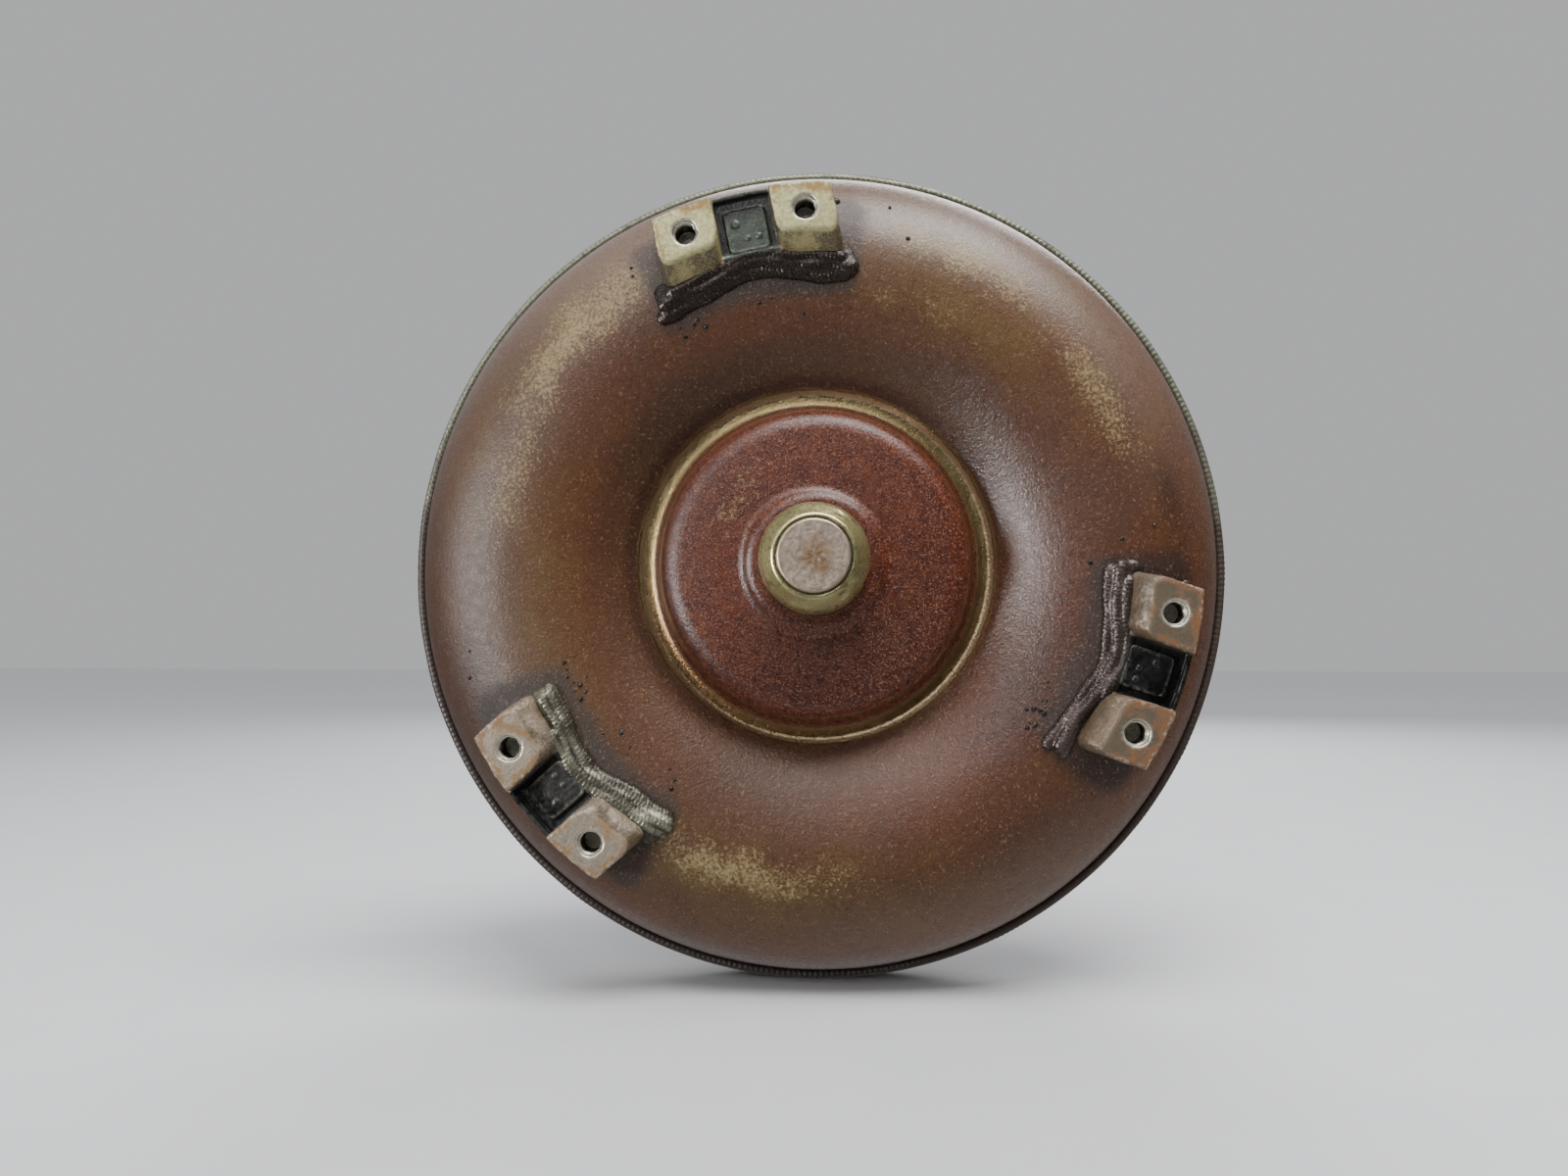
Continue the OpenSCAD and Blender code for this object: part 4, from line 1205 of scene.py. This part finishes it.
def pilot_material():
    """Turned steel gone yellow-green, with brown scratches on its face."""
    s = Shade("pilot_steel_turned")
    cloud, fine = s.noise(7, 4, seed=50), s.noise(1.4, 4, seed=51)
    s.colour = s.mix(s.ramp(cloud, 0.35, 0.7), rgb(208, 202, 148), rgb(188, 178, 130))
    high = s.ramp(s.depth, 2.0 - PILOT_END_Z, 1.7 - PILOT_END_Z)
    face = s.times(s.ramp(s.radius, 11.3, 11.4, 1, 0), high)
    s.over(s.times(face, 0.95), 204, 184, 168)
    middle = s.ramp(s.add(s.radius, s.times(cloud, 12)), 13.0, 8.0)
    smear = s.times(face, s.times(s.ramp(fine, 0.35, 0.55, 0.35, 1), middle))
    s.over(smear, 128, 98, 66)
    groove = s.times(s.ramp(s.radius, 11.35, 11.5), s.ramp(s.radius, 12.1, 12.3, 0.8, 0))
    s.over(s.times(groove, high), 92, 74, 50)
    foot = s.ramp(s.depth, -COLLAR_Z - 8, -COLLAR_Z - 1)
    s.over(s.times(foot, s.ramp(cloud, 0.35, 0.6, 0.24, 0.8)), 92, 80, 46)
    s.over(s.ramp(s.noise(0.9, 2, seed=52), 0.7, 0.76, 0, 0.35), 84, 70, 50)
    s.bump((s.streaks(0.5, 0.7), 0.03), (fine, 0.06))
    roughness = s.add(s.ramp(fine, 0.3, 0.7, 0.24, 0.38), s.times(face, 0.08))
    return s.finish(roughness, s.ramp(smear, 0, 1, 0.9, 0.5))


def hub_material():
    """Ground steel with bands polished by the pump's bush and seal."""
    s = Shade("hub_ground_steel")
    cloud, fine, track = s.noise(12, 3, seed=60), s.noise(1.5, 4, seed=61), s.weight("track")
    s.colour = s.mix(s.ramp(cloud, 0.35, 0.7), rgb(158, 156, 150), rgb(132, 126, 116))
    s.over(s.times(track, 0.6), 184, 182, 178)
    s.over(s.times(s.ramp(cloud, 0.55, 0.75, 0, 0.6), s.ramp(s.depth, 40, 28)), 92, 72, 50)
    s.bump((s.streaks(0.5, 0.7), 0.015), (fine, 0.02))
    return s.finish(s.add(s.ramp(fine, 0.3, 0.7, 0.24, 0.38), s.times(track, -0.1)), 0.95)


def metal_material(name, light, shadow, roughness, metallic=0.95, rings=True, grain=1.5):
    """Plain metal of one colour family with grain, oil stain and turning or rolling marks."""
    s = Shade(name)
    seed = sum(ord(letter) for letter in name) % 89
    cloud, fine = s.noise(grain * 7, 3, seed=seed), s.noise(grain, 4, seed=seed + 1)
    s.colour = s.mix(s.ramp(cloud, 0.35, 0.7), rgb(*light), rgb(*shadow))
    s.over(s.ramp(fine, 0.6, 0.75, 0, 0.4), 70, 56, 42)
    marks = [(s.streaks(0.5, 0.7), 0.012)] if rings else []
    s.bump((fine, 0.03), *marks)
    return s.finish(s.ramp(fine, 0.3, 0.7, roughness - 0.07, roughness + 0.09), metallic)


CAD_FINISHES = {
    "pressed_sheet": (
        dict(light=(142, 138, 128), shadow=(112, 106, 96), roughness=0.36),
        "impeller_blades impeller_core_ring turbine_shell turbine_blades turbine_core_ring "
        "clutch_front_plate clutch_rear_plate"),
    "ground_steel": (
        dict(light=(172, 171, 166), shadow=(146, 144, 138), roughness=0.24),
        "clutch_inner_race front_bearing_race rear_bearing_race"),
    "machined_hub": (
        dict(light=(150, 147, 138), shadow=(118, 112, 102), roughness=0.33),
        "turbine_rivets turbine_hub clutch_outer_race"),
    "bearing_steel": (
        dict(light=(188, 188, 184), shadow=(160, 160, 156), roughness=0.18, grain=0.8),
        "clutch_rollers front_bearing_needles rear_bearing_needles"),
    "cage_brass": (
        dict(light=(190, 160, 96), shadow=(150, 122, 70), roughness=0.3, grain=0.9),
        "front_bearing_cage rear_bearing_cage"),
    "sintered_bronze": (
        dict(light=(168, 134, 84), shadow=(128, 98, 60), roughness=0.42, grain=0.6),
        "turbine_thrust_washer"),
    "dull_copper": (
        dict(light=(164, 100, 66), shadow=(116, 74, 52), roughness=0.4, grain=0.8),
        "drain_plug_seal"),
    "cast_aluminium": (
        dict(light=(178, 179, 176), shadow=(150, 150, 146), roughness=0.46, rings=False, grain=1.1),
        "stator_wheel"),
    "spring_strip": (
        dict(light=(128, 124, 116), shadow=(92, 84, 76), roughness=0.3, rings=False),
        "stator_snap_rings clutch_springs"),
    "plug_steel": (
        dict(light=(134, 126, 112), shadow=(96, 84, 70), roughness=0.36, rings=False),
        "drain_plug"),
    "weight_plate": (
        dict(light=(112, 104, 92), shadow=(82, 70, 60), roughness=0.45, metallic=0.7, rings=False),
        "balance_weights"),
    "boss_paint": (
        dict(light=(96, 72, 60), shadow=(70, 54, 46), roughness=0.45, metallic=0.2, rings=False),
        "drain_boss"),
}


def dress_cad_nodes():
    """Gives each CAD node that stays in view a procedural metal, and eased edges to the drain plug,
    its boss, its seal and the balance weights.
    """
    for name, (look, nodes) in CAD_FINISHES.items():
        material = metal_material(name, **look)
        for node in nodes.split():
            mesh = frame["nodes"][node].data
            mesh.materials.clear()
            mesh.materials.append(material)
    for node in ("drain_plug", "drain_boss", "balance_weights", "drain_plug_seal"):
        ease = frame["nodes"][node].modifiers.new("eased_edges", "BEVEL")
        ease.width, ease.segments, ease.limit_method = 0.35 * MM, 3, "ANGLE"
        ease.angle_limit = math.radians(35)
        ease.harden_normals = True


# -------- stage, light and camera


def build_floor():
    """Pale floor that the rim stands on, hazy far off so that no dark line shows."""
    reach, level = 6.0, cad_low.z
    mesh = bpy.data.meshes.new("floor")
    corners = [(-reach, -reach), (reach, -reach), (reach, reach), (-reach, reach)]
    mesh.from_pydata([(x, y, level) for x, y in corners], [], [(0, 1, 2, 3)])
    floor = bpy.data.objects.new("floor", mesh)
    bpy.context.scene.collection.objects.link(floor)
    floor.visible_glossy = False
    s = Shade("floor_pale")
    s.colour = s.mix(s.noise(40, 3), rgb(206, 208, 211), rgb(214, 215, 217))
    haze = s.ramp(s.length(s.x, s.depth), 700, 2600, 0, 0.2)
    mesh.materials.append(s.finish(0.9, Specular_IOR_Level=0.1, Emission_Strength=haze,
                                   Emission_Color=rgb(216, 217, 219)))


def softbox(name, place, size, power, colour=(1, 1, 1)):
    """Rectangular area light aimed at the object's middle."""
    light = bpy.data.lights.new(name, "AREA")
    light.shape, light.size, light.size_y = "RECTANGLE", size[0], size[1]
    light.energy, light.color = power, colour
    lamp = bpy.data.objects.new(name, light)
    lamp.location = place
    lamp.rotation_mode = "QUATERNION"
    lamp.rotation_quaternion = Vector(place).to_track_quat("Z", "Y")
    bpy.context.scene.collection.objects.link(lamp)
    return lamp


SKY_LIGHT = 0.95
SHADED_SIDE = 0.35
GROUND_LIGHT = 0.5
REAR_LIGHT = 0.3
BASE_LIGHT = 0.02
SEEN_LIGHT = 0.7


def build_world():
    """Even pale grey to the eye; as light, bright above and to the left, dim low in front."""
    world = bpy.data.worlds.new("studio")
    world.use_nodes = True
    n = Nodes(world.node_tree)
    background = n.tree.nodes["Background"].inputs
    way = n.node("ShaderNodeTexCoord", output="Generated")
    x, y, up = n.node("ShaderNodeSeparateXYZ", way).node.outputs
    sky = n.times(n.ramp(up, 0.0, 0.65, 0, SKY_LIGHT), n.ramp(x, -0.45, 0.45, 1, SHADED_SIDE))
    ground = n.ramp(up, -0.1, -0.8, BASE_LIGHT, GROUND_LIGHT)
    rear = n.ramp(y, 0.1, 0.9, 0, REAR_LIGHT)
    seen = n.node("ShaderNodeLightPath", output="Is Camera Ray")
    hidden = n.times(n.rest(seen), n.add(n.add(sky, ground), rear))
    n.put(background["Color"], rgb(216, 217, 219))
    n.put(background["Strength"], n.add(n.times(seen, SEEN_LIGHT), hidden))
    bpy.context.scene.world = world


def build_lights():
    """Overhead light, a weak one in front, a gleam from the left and a rear light."""
    softbox("overhead", (0.2, -0.4, 1.1), (1.1, 0.6), 23)
    softbox("upper_left_front", (-0.3, -1.05, 0.6), (0.45, 0.45), 3)
    gleam = softbox("left_strip", (-0.95, -0.7, -0.03), (0.12, 0.2), 15)
    gleam.visible_diffuse = False
    softbox("behind", (0.2, 1.2, 0.8), (0.9, 0.9), 14)


CAMERA_PLACE = (4.4, -28.5, 416.4)
CAMERA_TILT = -2.98
CAMERA_SWING = -2.16
SENSOR_W = 36.0
FOCAL = 27.0


def build_camera():
    """Camera in front of the cover, a little low, looking slightly up."""
    data = bpy.data.cameras.new("camera")
    data.sensor_width, data.lens = SENSOR_W, FOCAL
    camera = bpy.data.objects.new("camera", data)
    bpy.context.scene.collection.objects.link(camera)
    look = Matrix.Rotation(math.radians(CAMERA_SWING), 3, "Y")
    look = look @ Matrix.Rotation(math.radians(CAMERA_TILT), 3, "X")
    lay_down = Matrix(((1, 0, 0), (0, 0, -1), (0, 1, 0)))
    place = lay_down @ Vector(CAMERA_PLACE) * MM
    camera.matrix_world = Matrix.Translation(place) @ (lay_down @ look.transposed()).to_4x4()
    bpy.context.scene.camera = camera


build_cover()
build_pilot()
build_lugs()
build_welds()
build_spatter()
bead_ring("seam_bead", "seam_weld", RIM_R - SHELL_WALL / 2, -0.2, 1.45, 1.0, seam_material())
bead_ring("hub_bead", "hub_weld", SHELL_BORE_R, FLANGE_Z - 0.4, 2.2, 2.0, hub_weld_material())
build_impeller_shell()
build_hub()
dress_cad_nodes()
build_floor()
build_world()
build_lights()
build_camera()
